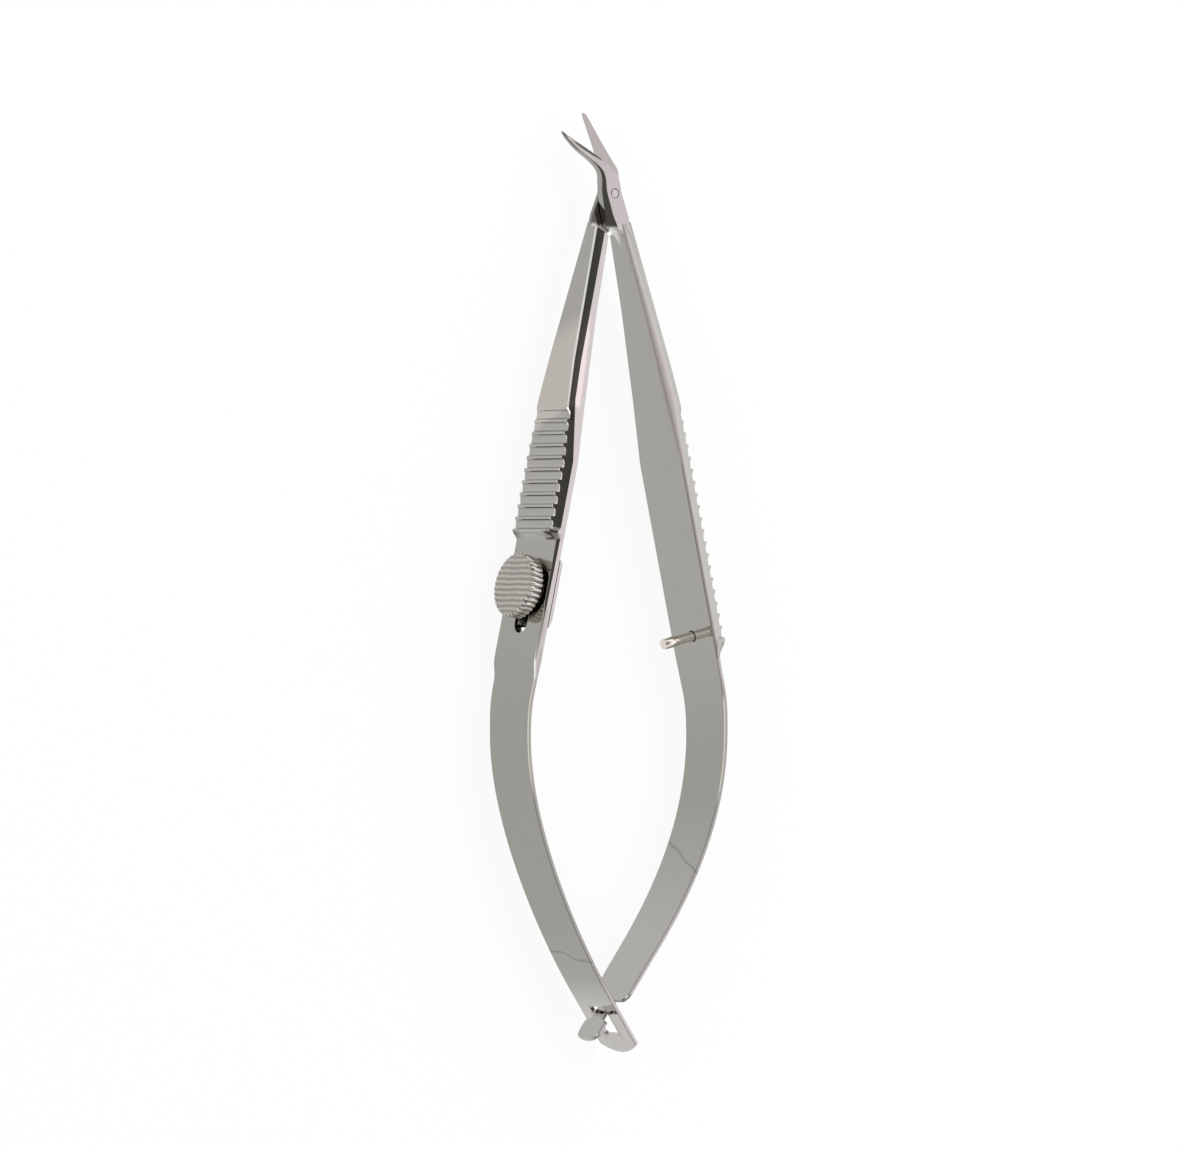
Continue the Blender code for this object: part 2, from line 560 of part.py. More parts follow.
def thumb_slide(parts, cutters):
    """The knob outside, its collar, the stud through the slot and the plate inside the arm."""
    frame = slide_frame()
    origin = frame.to_translation()
    knob_foot = SLIDE_AREA_THICKNESS + 2 * SLIDE_GAP + COLLAR_THICKNESS + FIT_GAP
    along_x = Matrix.Rotation(math.radians(90), 4, "Y")
    at_knob = frame @ Matrix.Translation((knob_foot, 0, 0))

    material = steel("thumb_knob_steel", (0.62, 0.58, 0.52), 0.30)
    knob = make_object("thumb_knob", move_to(knurled_disc(), at_knob), parts, material, origin)
    combine(knob, make_object("cut_knob_face", move_to(face_grooves(), at_knob), cutters), "DIFFERENCE")
    socket_depth = KNOB_THICKNESS / 2
    socket = cylinder(STUD_END_RADIUS + FIT_GAP, -socket_depth, socket_depth)
    socket = make_object("cut_knob_socket", move_to(socket, at_knob @ along_x), cutters)
    combine(knob, socket, "DIFFERENCE")

    material = steel("knob_collar_steel", (0.50, 0.47, 0.43), 0.35)
    low = SLIDE_AREA_THICKNESS + SLIDE_GAP
    collar = cylinder(COLLAR_RADIUS, low, low + COLLAR_THICKNESS)
    collar = make_object("knob_collar", move_to(collar, frame @ along_x), parts, material, origin)
    eye = cylinder(STUD_END_RADIUS + FIT_GAP, 0, low + 2 * COLLAR_THICKNESS)
    combine(collar, make_object("cut_collar_eye", move_to(eye, frame @ along_x), cutters), "DIFFERENCE")

    material = steel("slide_stud_steel", (0.55, 0.52, 0.48), 0.30)
    stem = SLOT_WIDTH / 2 - SLIDE_GAP
    plate_foot = -SLIDE_GAP - SLIDE_PLATE_THICKNESS
    profile = (
        (0, knob_foot + socket_depth - FIT_GAP),
        (STUD_END_RADIUS, knob_foot + socket_depth - FIT_GAP),
        (STUD_END_RADIUS, SLIDE_AREA_THICKNESS),
        (stem, SLIDE_AREA_THICKNESS),
        (stem, -SLIDE_GAP / 2),
        (STUD_END_RADIUS, -SLIDE_GAP / 2),
        (STUD_END_RADIUS, plate_foot),
        (0, plate_foot),
    )
    stud = turned("slide_stud", profile, parts, material)
    stud.matrix_world = Matrix.Translation(PIVOT) @ frame @ along_x

    material = steel("slide_plate_steel", (0.64, 0.61, 0.59), 0.22)
    half = PAD_WIDTH / 2 - EDGE_BREAK
    lip = SLIDE_PLATE_THICKNESS / 3
    rings = []
    full = half - EDGE_BREAK
    for z, inset in ((-half, EDGE_BREAK), (-full, 0), (full, 0), (half, EDGE_BREAK)):
        section = (
            (-SLIDE_GAP, SLIDE_PLATE_UP - inset),
            (-SLIDE_GAP - lip, SLIDE_PLATE_UP - inset),
            (plate_foot + inset, SLIDE_PLATE_UP - SLIDE_PLATE_SLOPE),
            (plate_foot + inset, SLIDE_PLATE_SLOPE - SLIDE_PLATE_DOWN),
            (-SLIDE_GAP - lip, inset - SLIDE_PLATE_DOWN),
            (-SLIDE_GAP, inset - SLIDE_PLATE_DOWN),
        )
        rings.append([Vector((x, t, z)) for x, t in section])
    plate = make_object("slide_plate", move_to(loft(rings), frame), parts, material, origin)
    eye = cylinder(STUD_END_RADIUS + FIT_GAP, 3 * plate_foot, -plate_foot)
    combine(plate, make_object("cut_plate_eye", move_to(eye, frame @ along_x), cutters), "DIFFERENCE")


def tail_axes(side):
    """The crossing, the way down the tail and the way out of it, drawn as for the right side."""
    angle = RIGHT_TAIL_ANGLE if side > 0 else LEFT_TAIL_ANGLE
    crossing = Vector((-side * CROSSING_LEFT, -CROSSING_DOWN, 0))
    down = Vector((-math.sin(angle), -math.cos(angle), 0))
    outward = Vector((math.cos(angle), -math.sin(angle), 0))
    return crossing, down, outward


def leaf_path(side):
    """Inner face of a leaf from the flex line to the straight tail: points and outward normals."""
    crossing, down, outward = tail_axes(side)
    straight = RIGHT_STRAIGHT if side > 0 else LEFT_STRAIGHT
    at_bow, at_tail = RIGHT_CURVE if side > 0 else LEFT_CURVE
    start = DOWN_ARM * FLEX_DOWN + OUT_OF_ARM * FACE_OFFSET
    widest = Vector((BOW_HALF_GAP, -BOW_DOWN, 0))
    tail = crossing - down * straight - outward * TAIL_THICKNESS / 2
    third = (start.y - widest.y) / 3
    first = interpolate_bezier(start, start + DOWN_ARM * third, widest + Vector((0, third, 0)), widest, 7)
    second = interpolate_bezier(
        widest, widest - Vector((0, at_bow, 0)), tail - down * at_tail, tail, 18
    )
    points = list(first) + list(second)[1:]
    normals = []
    for i in range(len(points)):
        along = points[min(i + 1, len(points) - 1)] - points[max(i - 1, 0)]
        along.normalize()
        normals.append(Vector((-along.y, along.x, 0)))
    normals[0] = OUT_OF_ARM
    normals[-1] = outward
    return points, normals


def leaf_rings(side, tail_stations):
    """Rings of a leaf; tail_stations gives widths against distance beyond the crossing."""
    crossing, down, outward = tail_axes(side)
    points, normals = leaf_path(side)
    start = points[0]
    rings = []
    for i, (point, normal) in enumerate(zip(points, normals)):
        share = (start.y - point.y) / (start.y - crossing.y)
        width = between(LEAF_WIDTHS, FLEX_DOWN + (CROSSING_DOWN - FLEX_DOWN) * share)
        thickness = LEAF_THICKNESS + (TAIL_THICKNESS - LEAF_THICKNESS) * share
        if i == 0:
            point = point + DOWN_ARM * SPLIT_GAP / 2
        rings.append(band_section(point, normal, width, thickness, LEAF_CHAMFER))
    for beyond, width in tail_stations:
        foot = crossing + down * beyond - outward * TAIL_THICKNESS / 2
        chamfer = tuple(min(size, width / 8) for size in LEAF_CHAMFER)
        rings.append(band_section(foot, outward, width, TAIL_THICKNESS, chamfer))
    return rings


def flex_point(side):
    """Where a leaf bends out of its arm, in the middle of the band's thickness."""
    point = DOWN_ARM * FLEX_DOWN + OUT_OF_ARM * (FACE_OFFSET + LEAF_THICKNESS / 2)
    return Vector((side * point.x, point.y, 0))


def left_leaf(parts, cutters):
    """The leaf whose tail holds the window, with an arc for an end."""
    material = steel("left_leaf_steel", (0.58, 0.57, 0.53), 0.24)
    half = TAIL_WIDTH / 2
    sagitta = WINDOW_END_RADIUS - math.sqrt(WINDOW_END_RADIUS**2 - half**2)
    stations = [(-LEFT_STRAIGHT / 2, TAIL_WIDTH), (WINDOW_END - sagitta, TAIL_WIDTH)]
    for share in (0.75, 0.5, 0.3, 0.15, 0.05, 0.01):
        short = sagitta * share
        stations.append((WINDOW_END - short, 2 * math.sqrt(2 * WINDOW_END_RADIUS * short - short**2)))
    rings = leaf_rings(-1, stations)
    bm = loft([[Vector((-p.x, p.y, p.z)) for p in ring] for ring in rings])
    leaf = make_object("left_leaf_spring", bm, parts, material, flex_point(-1))
    low = (-WINDOW_WIDTH, WINDOW_TOP - WINDOW_LENGTH, -WINDOW_WIDTH / 2)
    high = (WINDOW_WIDTH, WINDOW_TOP, WINDOW_WIDTH / 2)
    window = box_between(low, high)
    crossing = Vector((-CROSSING_LEFT, -CROSSING_DOWN, 0))
    turn = Matrix.Translation(crossing) @ Matrix.Rotation(LEFT_TAIL_ANGLE, 4, "Z")
    combine(leaf, make_object("cut_tail_window", move_to(window, turn), cutters), "DIFFERENCE")
    return leaf


def right_leaf(parts):
    """The leaf whose narrow neck passes through the window, with a paddle beyond it."""
    material = steel("right_leaf_steel", (0.62, 0.62, 0.60), 0.24)
    shoulder = TONGUE_SHOULDER
    fillet = (TAIL_WIDTH - TONGUE_NECK_WIDTH) / 10
    stations = [
        (-RIGHT_STRAIGHT / 2, TAIL_WIDTH),
        (-shoulder - 0.8 * fillet, TAIL_WIDTH),
        (-shoulder - 0.25 * fillet, TAIL_WIDTH - 0.6 * fillet),
        (-shoulder - 0.05 * fillet, TAIL_WIDTH - 1.6 * fillet),
        (-shoulder, TONGUE_NECK_WIDTH + 2.0 * fillet),
        (-shoulder + 0.4 * fillet, TONGUE_NECK_WIDTH + 0.6 * fillet),
        (-shoulder + fillet, TONGUE_NECK_WIDTH),
        (TONGUE_NECK_END, TONGUE_NECK_WIDTH),
    ]
    paddle = TONGUE_END - TONGUE_NECK_END
    grow = TONGUE_WIDTH - TONGUE_NECK_WIDTH
    stations += [
        (TONGUE_NECK_END + 0.06 * paddle, TONGUE_NECK_WIDTH + 0.6 * grow),
        (TONGUE_NECK_END + 0.18 * paddle, TONGUE_NECK_WIDTH + 0.93 * grow),
    ]
    for turn in (0, 20, 40, 58, 72, 82):
        angle = math.radians(turn)
        place = TONGUE_NECK_END + paddle * (0.62 + 0.38 * math.sin(angle))
        stations.append((place, TONGUE_WIDTH * math.cos(angle) ** 0.7))
    bm = loft(leaf_rings(1, stations))
    return make_object("right_leaf_spring", bm, parts, material, flex_point(1))


def main():
    clear_scene()
    parts = new_collection("spring_micro_scissors")
    cutters = new_collection("cutters", hidden=True)
    left_arm(parts, cutters)
    right_arm(parts, cutters)
    left_leaf(parts, cutters)
    right_leaf(parts)
    pivot_screw(parts, cutters)
    stop_pin(parts)
    thumb_slide(parts, cutters)


main()
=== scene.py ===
import math

import bmesh
import bpy
from mathutils import Matrix, Vector
from mathutils.geometry import interpolate_bezier


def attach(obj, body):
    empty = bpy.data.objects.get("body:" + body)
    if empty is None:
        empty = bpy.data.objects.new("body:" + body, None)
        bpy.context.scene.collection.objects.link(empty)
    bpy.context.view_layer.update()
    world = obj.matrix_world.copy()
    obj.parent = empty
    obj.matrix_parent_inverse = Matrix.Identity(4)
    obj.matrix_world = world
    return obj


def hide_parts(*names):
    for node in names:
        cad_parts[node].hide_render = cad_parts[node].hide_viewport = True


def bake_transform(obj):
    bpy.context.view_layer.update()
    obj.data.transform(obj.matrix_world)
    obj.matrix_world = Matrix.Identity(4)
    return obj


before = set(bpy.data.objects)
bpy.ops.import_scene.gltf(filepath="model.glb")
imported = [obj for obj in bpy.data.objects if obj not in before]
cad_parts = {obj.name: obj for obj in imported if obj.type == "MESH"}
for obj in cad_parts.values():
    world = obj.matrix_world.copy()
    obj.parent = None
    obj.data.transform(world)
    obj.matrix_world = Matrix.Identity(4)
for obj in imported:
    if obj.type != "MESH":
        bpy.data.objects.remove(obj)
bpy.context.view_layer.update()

mm = 0.001
print("frame loaded:", len(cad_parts), "nodes")

# Where things are, as the CAD has them
layout = {
    "pivotY": 43.449,
    "middle": 4.0,
    "armAngle": math.radians(12.8),
    "faceOffset": 0.20,
    "bowHalfGap": 13.25,
    "bowDown": 60.5,
    "crossingDown": 91.45,
    "crossingLeft": 1.04,
    "tailAngle": {1: 35.9, -1: 34.3},       # degrees
}
pivot = Vector((0, layout["pivotY"], layout["middle"]))
downArm = Vector((math.sin(layout["armAngle"]), -math.cos(layout["armAngle"]), 0))
outOfArm = Vector((math.cos(layout["armAngle"]), math.sin(layout["armAngle"]), 0))

# The two handles: each is an arm, its leaf spring and its tail, drawn as for the right side
handle = {
    "shoulder": 3.6, "insetEnd": 13.3, "swell": 19.7, "flare": 24.0, "fullWidth": 31.0,
    "leaf": 53.404, "taper": 2.4, "flex": 57.204,
    "widths": ((3.6, 2.5), (24.0, 6.35), (31.0, 8.0), (53.404, 8.0), (60.5, 7.45), (91.45, 6.9)),
    "thicks": ((3.6, 1.42), (19.7, 2.19), (24.0, 2.19), (31.0, 2.10)),
    "leafThick": 0.50, "tailThick": 0.45, "slideThick": 0.95,
    "chamfers": ((3.6, (1.12, 0.47)), (19.7, (0.88, 0.50)), (24.0, (0.78, 0.38))),
    "facets": ((3.6, 0.25), (24.0, 0.22), (27.5, 0.05)),    # the narrow facet beside the outer face
    "leafChamfer": (0.10, 0.10),
    "slideChamfer": (0.40, 0.20),
    "padChamfer": {1: (1.58, 0.83), -1: (1.36, 0.70)},
    "inset": 0.30,              # of the inner face at the shoulder
    "edgeBreak": 0.10,
    "flexStart": 54.2,          # where the band begins to bend with its leaf
    "flexEnd": 66.0,
}
ridges = {
    "first": 26.3, "pitch": 1.385, "height": {1: 0.56, -1: 0.50}, "firstShare": 0.6,
    "runOut": {1: 1.9, -1: 1.1},
    "count": {1: 19, -1: 10}, "lastShare": 0.14,        # of a pitch, behind the last crest's start
    "riseEnd": 0.13, "crestEnd": 0.33, "stepEnd": 0.39, "fallEnd": 0.72,     # shares of a pitch
    "crestEndHeight": 0.92, "stepFoot": 0.50, "hollowHeight": 0.06,          # shares of the height
    "notchLength": 0.30, "notchSlope": 0.25,        # a crest's end falls away before the chamfer
    "cuts": (0, 0.03, 0.065, 0.10, 0.13, 0.18, 0.23, 0.28, 0.33, 0.345, 0.36, 0.375, 0.39, 0.44, 0.50,
             0.57, 0.64, 0.72, 0.80, 0.87, 0.94),
}


def smooth(t):
    t = max(0.0, min(1.0, t))
    return t * t * (3 - 2 * t)


def between(stations, place):  # reads a number or a pair off a row of (place, value)
    if place <= stations[0][0]:
        return stations[0][1]
    for (start, first), (end, last) in zip(stations, stations[1:]):
        if place <= end:
            share = (place - start) / (end - start)
            if isinstance(first, tuple):
                return tuple(a + (b - a) * share for a, b in zip(first, last))
            return first + (last - first) * share
    return stations[-1][1]


def meshOf(name, verts, faces):
    mesh = bpy.data.meshes.new(name)
    mesh.from_pydata([tuple((pivot + Vector(v)) * mm) for v in verts], [], faces)
    piece = bpy.data.objects.new(name, mesh)
    bpy.context.scene.collection.objects.link(piece)
    bm = bmesh.new()
    bm.from_mesh(mesh)
    bmesh.ops.recalc_face_normals(bm, faces=bm.faces)
    bm.to_mesh(mesh)
    bm.free()
    return piece


def loftOf(name, rings):
    count = len(rings[0])
    faces = []
    for r in range(len(rings) - 1):
        for i in range(count):
            j = (i + 1) % count
            faces.append((r * count + i, r * count + j, (r + 1) * count + j, (r + 1) * count + i))
    faces.append(tuple(range(count)))
    faces.append(tuple((len(rings) - 1) * count + i for i in range(count)))
    return meshOf(name, [p for ring in rings for p in ring], faces)


def cutWith(piece, tool, operation="DIFFERENCE"):
    modifier = piece.modifiers.new("Cut", "BOOLEAN")
    modifier.operation = operation
    modifier.solver = "EXACT"
    modifier.object = tool
    graph = bpy.context.evaluated_depsgraph_get()
    done = bpy.data.meshes.new_from_object(piece.evaluated_get(graph))
    piece.modifiers.clear()
    old = piece.data
    piece.data = done
    bpy.data.meshes.remove(old)
    bpy.data.objects.remove(tool, do_unlink=True)


def finishMesh(piece, angle):
    bm = bmesh.new()
    bm.from_mesh(piece.data)
    bmesh.ops.remove_doubles(bm, verts=bm.verts, dist=1e-7)
    bmesh.ops.dissolve_degenerate(bm, dist=1e-7, edges=bm.edges)
    bm.to_mesh(piece.data)
    bm.free()
    piece.data.shade_smooth()
    piece.data.set_sharp_from_angle(angle=math.radians(angle))


# Handles

def ridgeShape(s):  # height of a ridge at this share of its pitch: a rise, a crest, a step and a hollow
    if s < ridges["riseEnd"]:
        return smooth(s / ridges["riseEnd"])
    if s < ridges["crestEnd"]:
        wearAndPaintedLight = (s - ridges["riseEnd"]) / (ridges["crestEnd"] - ridges["riseEnd"])
        return 1 - (1 - ridges["crestEndHeight"]) * wearAndPaintedLight
    if s < ridges["stepEnd"]:
        stepped = smooth((s - ridges["crestEnd"]) / (ridges["stepEnd"] - ridges["crestEnd"]))
        return ridges["crestEndHeight"] - (ridges["crestEndHeight"] - ridges["stepFoot"]) * stepped
    if s < ridges["fallEnd"]:
        left = 1 - (s - ridges["stepEnd"]) / (ridges["fallEnd"] - ridges["stepEnd"])
        return ridges["hollowHeight"] + (ridges["stepFoot"] - ridges["hollowHeight"]) * left * left
    return ridges["hollowHeight"] * (1 - smooth((s - ridges["fallEnd"]) / (1 - ridges["fallEnd"])))


def padEnd(side):
    return ridges["first"] + (ridges["count"][side] - 1 + ridges["lastShare"]) * ridges["pitch"]


def raisedAt(down, side):
    pitches = (down - ridges["first"]) / ridges["pitch"]
    if pitches < ridges["riseEnd"] - 1 or down > padEnd(side):
        return 1.0
    share = between(((ridges["first"], ridges["firstShare"]), (handle["fullWidth"], 1.0)), down)
    return 1 - share * (1 - ridgeShape(pitches % 1.0))


def notchAt(down, side):
    start = ridges["first"] - ridges["pitch"] * (1 - ridges["riseEnd"])
    return smooth((down - start) / 0.4) * (1 - smooth((down - padEnd(side) - 0.3) / 0.8))


# How much painted shade, below nought, and painted highlight, above it, each place of the handles gets
paintedLight = {
    # painted shade and highlights across a ridge, by share of its pitch
    "ridge": ((0, -0.30), (0.06, -0.55), (0.14, -0.10), (0.22, 0.20), (0.33, 0.10), (0.37, -0.25),
              (0.42, -0.15), (0.55, 0.12), (0.70, 0.0), (0.84, 0.16), (0.94, 0.05), (1, -0.30)),
    "glint": 0.9,               # painted glint where a hollow runs out over the edge
    # painted highlight on the narrow facet, turning to painted shade further down
    "facet": ((24, 1.0), (27.5, -0.3)),
    # painted shade on the chamfers, edges, rims, lap face and blades; painted highlight on the front head's
    # end
    "edge": -0.42, "padEdge": -0.40,
    "innerEdge": {1: -0.75, -1: 0}, "leafEdge": -0.3, "leafRim": -0.35,
    "padFoot": 0.75,            # painted shade in the hollow below the left pad
    "lapFace": -0.9, "upperBlade": -0.30, "frontHead": -0.16, "headEnd": 0.9,
    "reach": 0.012,             # how near a point of the mesh is to the column that it came from
}


# Gives (z, out, tone) for one half of the band. The tones, painted light and shade, are of the face, facet,
# chamfer and inner edge.
def bandProfile(width, thick, chamfer, ground=0.0, inset=0.0, facet=0.02, notch=0.0, raised=1.0,
                tones=(0, 0, 0, 0), hollow=0.0):
    depth, run = chamfer
    half = width / 2
    brk = handle["edgeBreak"]
    low = thick - depth
    ground = thick - ground
    slope = depth / run
    fallFrom = (half - run) - min(ridges["notchLength"], 0.4 * (half - run))
    fall = ridges["notchSlope"] * notch * raised
    flatEnd = (low + slope * half - ground - fall * fallFrom) / (slope - fall)
    end = ground - fall * (flatEnd - fallFrom)
    facet = min(facet, 0.4 * (half - flatEnd), (end - low) / 3)
    face, bright, shade, inner = tones
    # painted glint where a hollow runs out; painted shade deepens towards the hollow's end
    glint = paintedLight["glint"] * notch * max(0.0, 1 - raised / 0.04)
    columns = [(fallFrom * share, ground, face - hollow * max(0, share - 0.6) * 2.5)
               for share in (0.3, 0.6, 0.85, 1.0)]
    for share in (0.12, 0.4, 0.7, 1.0):
        z = fallFrom + (flatEnd - fallFrom) * share
        shown = max(face, glint) if share > 0.6 else face
        columns.append((z, ground - fall * (z - fallFrom), shown - hollow))
    # painted highlight on the facet, painted shade on the chamfer
    columns += [(flatEnd + facet * share, end - facet * share, tone) for share, tone in (
        (0.12, bright), (0.88, bright), (1.0, shade))]
    near = 0.05
    columns.append((half - near * (half - flatEnd - facet), low + near * (end - facet - low), 0.5 * shade))
    columns += [(half, low, paintedLight["leafEdge"] if thick < 0.6 else -0.4 * hollow),
                (half, brk - inset, inner), (half - brk, -inset, inner),
                (half - brk - 0.04, -inset, 0), (half * 0.4, -inset, 0)]
    return columns


def bandSection(foot, outward, columns):
    ring = [foot + outward * n + Vector((0, 0, z)) for z, n, _ in columns]
    return ring + [foot + outward * n - Vector((0, 0, z)) for z, n, _ in reversed(columns)]


def tailAxes(side):
    angle = math.radians(layout["tailAngle"][side])
    crossing = Vector((-side * layout["crossingLeft"], -layout["crossingDown"], 0))
    down = Vector((-math.sin(angle), -math.cos(angle), 0))
    outward = Vector((math.cos(angle), -math.sin(angle), 0))
    return crossing, down, outward


leafShape = {
    "straight": {1: 5.9, -1: 3.1},
    "curve": {1: (12.5, 4.4), -1: (10.6, 5.7)},
    "steps": (12, 44),
}


def leafPath(side):
    crossing, down, outward = tailAxes(side)
    atBow, atTail = leafShape["curve"][side]
    start = downArm * handle["flex"] + outOfArm * layout["faceOffset"]
    widest = Vector((layout["bowHalfGap"], -layout["bowDown"], 0))
    tail = crossing - down * leafShape["straight"][side] - outward * handle["tailThick"] / 2
    third = (start.y - widest.y) / 3
    first = interpolate_bezier(start, start + downArm * third, widest + Vector((0, third, 0)), widest,
                               leafShape["steps"][0])
    second = interpolate_bezier(widest, widest - Vector((0, atBow, 0)), tail - down * atTail, tail,
                                leafShape["steps"][1])
    points = list(first) + list(second)[1:]
    normals = []
    for i in range(len(points)):
        along = (points[min(i + 1, len(points) - 1)] - points[max(i - 1, 0)]).normalized()
        normals.append(Vector((-along.y, along.x, 0)))
    normals[0] = outOfArm
    normals[-1] = outward
    return points, normals


def armPlaces(side):
    padStop, runOut = padEnd(side), ridges["runOut"][side]
    end = padStop + runOut
    last = ridges["count"][side] - 1
    places = [handle[name] for name in ("shoulder", "insetEnd", "swell", "flare", "fullWidth")]
    places += [handle["shoulder"] + (handle["swell"] - handle["shoulder"]) * i / 12 for i in range(1, 12)]
    places += [handle["flare"] + 0.5, handle["flare"] + 0.9]
    for i in range(-1, last):
        places += [ridges["first"] + ridges["pitch"] * (i + share) for share in ridges["cuts"]
                   if i + share >= ridges["riseEnd"] - 1]
    places += [ridges["first"] + ridges["pitch"] * (last + share) for share in (0, 0.03, 0.065, 0.10)]
    places += [padStop + runOut * share for share in (0, 0.1, 0.22, 0.36, 0.5, 0.65, 0.8, 0.92, 1)]
    if side < 0:
        places += [end + (handle["leaf"] - end) * i / 8 for i in range(1, 8)]
    places += [handle["leaf"] + handle["taper"] * i / 6 for i in range(7)]
    places += [handle["leaf"] + handle["taper"] + 0.7]
    ordered = []
    for place in sorted(places):
        if not ordered or place - ordered[-1] > 0.004:
            ordered.append(place)
    return ordered


def armColumns(down, side):
    padStop, runOut = padEnd(side), ridges["runOut"][side]
    end = padStop + runOut
    thin = handle["leafThick"] if side > 0 else handle["slideThick"]
    thinChamfer = handle["leafChamfer"] if side > 0 else handle["slideChamfer"]
    padThick = handle["thicks"][-1][1]
    if down <= padStop:
        thick = between(handle["thicks"], down)
    elif down < end:
        thick = padThick + (thin - padThick) * smooth((down - padStop) / runOut)
    else:
        thick = thin + (handle["leafThick"] - thin) * smooth((down - handle["leaf"]) / handle["taper"])
    padChamfer = handle["padChamfer"][side]
    chamfers = handle["chamfers"] + ((handle["fullWidth"], padChamfer), (padStop - 0.4, padChamfer),
                                     (end, thinChamfer),
                                     (handle["leaf"] + handle["taper"], handle["leafChamfer"]))
    inset = between(((handle["shoulder"], handle["inset"]), (handle["insetEnd"], 0.0)), down)
    facets = handle["facets"] + ((padStop, 0.05), (end, 0.02))
    raised = raisedAt(down, side)
    notch = notchAt(down, side)
    # painted shade and highlights across each ridge, and painted shade on the inner edge
    face = notch * between(paintedLight["ridge"], (down - ridges["first"]) / ridges["pitch"] % 1.0)
    inner = paintedLight["innerEdge"][side] if down < handle["leaf"] else paintedLight["leafEdge"]
    facetTone, edgeTone, hollow = 0, 0, 0
    if side < 0:        # painted shade on the edge towards the camera, painted highlight on its facet, down to the thin part of the arm
        shown = 1 - smooth((down - handle["leaf"] + 3) / 3)
        facetTone = between(paintedLight["facet"], down) * shown
        edgeTone = (paintedLight["edge"] + paintedLight["padEdge"] * notch) * shown
        # painted shade in the hollow past the pad
        beyond = (down - padStop) / runOut
        hollow = paintedLight["padFoot"] * smooth(beyond / 0.3) * (1 - smooth((beyond - 0.45) / 0.5))
        if hollow:
            facetTone = min(facetTone, -0.3 - 0.5 * hollow)
    return bandProfile(between(handle["widths"], down), thick, between(chamfers, down),
                       ridges["height"][side] * (1 - raised), inset, between(facets, down), notch, raised,
                       (face, facetTone, edgeTone, inner), hollow)


def bandRings(side, tailStations):
    rings = []
    for down in armPlaces(side):
        foot = downArm * down + outOfArm * layout["faceOffset"]
        rings.append(bandSection(foot, outOfArm, armColumns(down, side)))
    crossing, down, outward = tailAxes(side)
    points, normals = leafPath(side)
    startY = points[0].y
    for point, normal in zip(points, normals):
        share = (startY - point.y) / (startY - crossing.y)
        level = handle["flex"] + (layout["crossingDown"] - handle["flex"]) * share
        width = between(handle["widths"][3:], level)
        thick = handle["leafThick"] + (handle["tailThick"] - handle["leafThick"]) * share
        rings.append(bandSection(point, normal, bandProfile(width, thick, handle["leafChamfer"])))
    for beyond, width in tailStations:
        foot = crossing + down * beyond - outward * handle["tailThick"] / 2
        chamfer = tuple(min(size, width / 8) for size in handle["leafChamfer"])
        rings.append(bandSection(foot, outward, bandProfile(width, handle["tailThick"], chamfer)))
    return [[Vector((side * p.x, p.y, p.z)) for p in ring] for ring in rings]


# Heads and blades: left edge, right edge, chamfer on each, from the arm to the tip
heads = {
    "front": (
        ((1.78, -6.5), (3.05, -6.2), 0.10, 0.40), ((1.52, -5.2), (2.85, -5.2), 0.10, 0.42),
        ((-0.85, -3.7), (2.50, -4.2), 1.22, 0.45), ((-1.22, -2.4), (2.05, -2.4), 0.92, 0.40),
        ((-1.63, 0.0), (1.18, 0.0), 0.60, 0.34), ((-1.68, 1.7), (0.72, 1.7), 0.42, 0.32),
        ((-1.98, 2.6), (0.10, 2.75), 0.32, 0.40), ((-2.60, 3.25), (-0.80, 3.57), 0.24, 0.55),
        ((-3.34, 3.80), (-1.94, 4.30), 0.20, 0.72), ((-4.85, 4.81), (-3.93, 5.37), 0.18, 0.57),
        ((-6.10, 5.95), (-5.73, 6.36), 0.12, 0.30), ((-6.63, 6.65), (-6.55, 6.85), 0.04, 0.08),
    ),
    "back": (
        ((-3.05, -6.2), (-1.78, -6.5), 0.40, 0.10), ((-2.85, -5.2), (-1.52, -5.2), 0.42, 0.10),
        ((-2.50, -4.2), (0.85, -3.7), 0.45, 1.22), ((-2.13, -2.4), (1.22, -2.4), 0.40, 0.92),
        ((-1.12, 0.0), (1.50, 0.0), 0.30, 0.60), ((-1.18, 1.7), (1.36, 1.7), 0.40, 0.42),
        ((-1.42, 3.1), (1.18, 2.7), 0.60, 0.32), ((-1.94, 4.4), (0.33, 3.85), 0.85, 0.24),
        ((-2.50, 5.8), (-0.88, 5.5), 0.75, 0.20), ((-3.10, 7.25), (-2.16, 7.35), 0.48, 0.16),
        ((-3.60, 8.5), (-3.02, 8.6), 0.24, 0.10), ((-3.68, 8.85), (-3.46, 8.93), 0.08, 0.04),
    ),
    "edgeStarts": 5,
    "rootThicks": ((-5.3, 1.25), (0, 1.10)),                    # by place along the head
    "bladeThicks": ((0, 1.10), (0.5, 0.80), (1, 0.30)),         # by share of the blade
    "edgeThick": 0.07, "halfGap": 0.06, "innerFall": 0.28,
    "between": 5,       # rings put in between two stations, on a smooth curve
    "cutAt": (2.2, -3.9), "cutAngle": 35, "cutReach": 12,       # where an arm makes room for the other head
}


def curveThrough(values, i, t):  # a smooth curve from value i to value i + 1
    a = values[max(i - 1, 0)]
    b = values[i]
    c = values[i + 1]
    d = values[min(i + 2, len(values) - 1)]
    return 0.5 * (2 * b + (c - a) * t + (2 * a - 5 * b + 4 * c - d) * t * t
                  + (3 * b - a - 3 * c + d) * t ** 3)


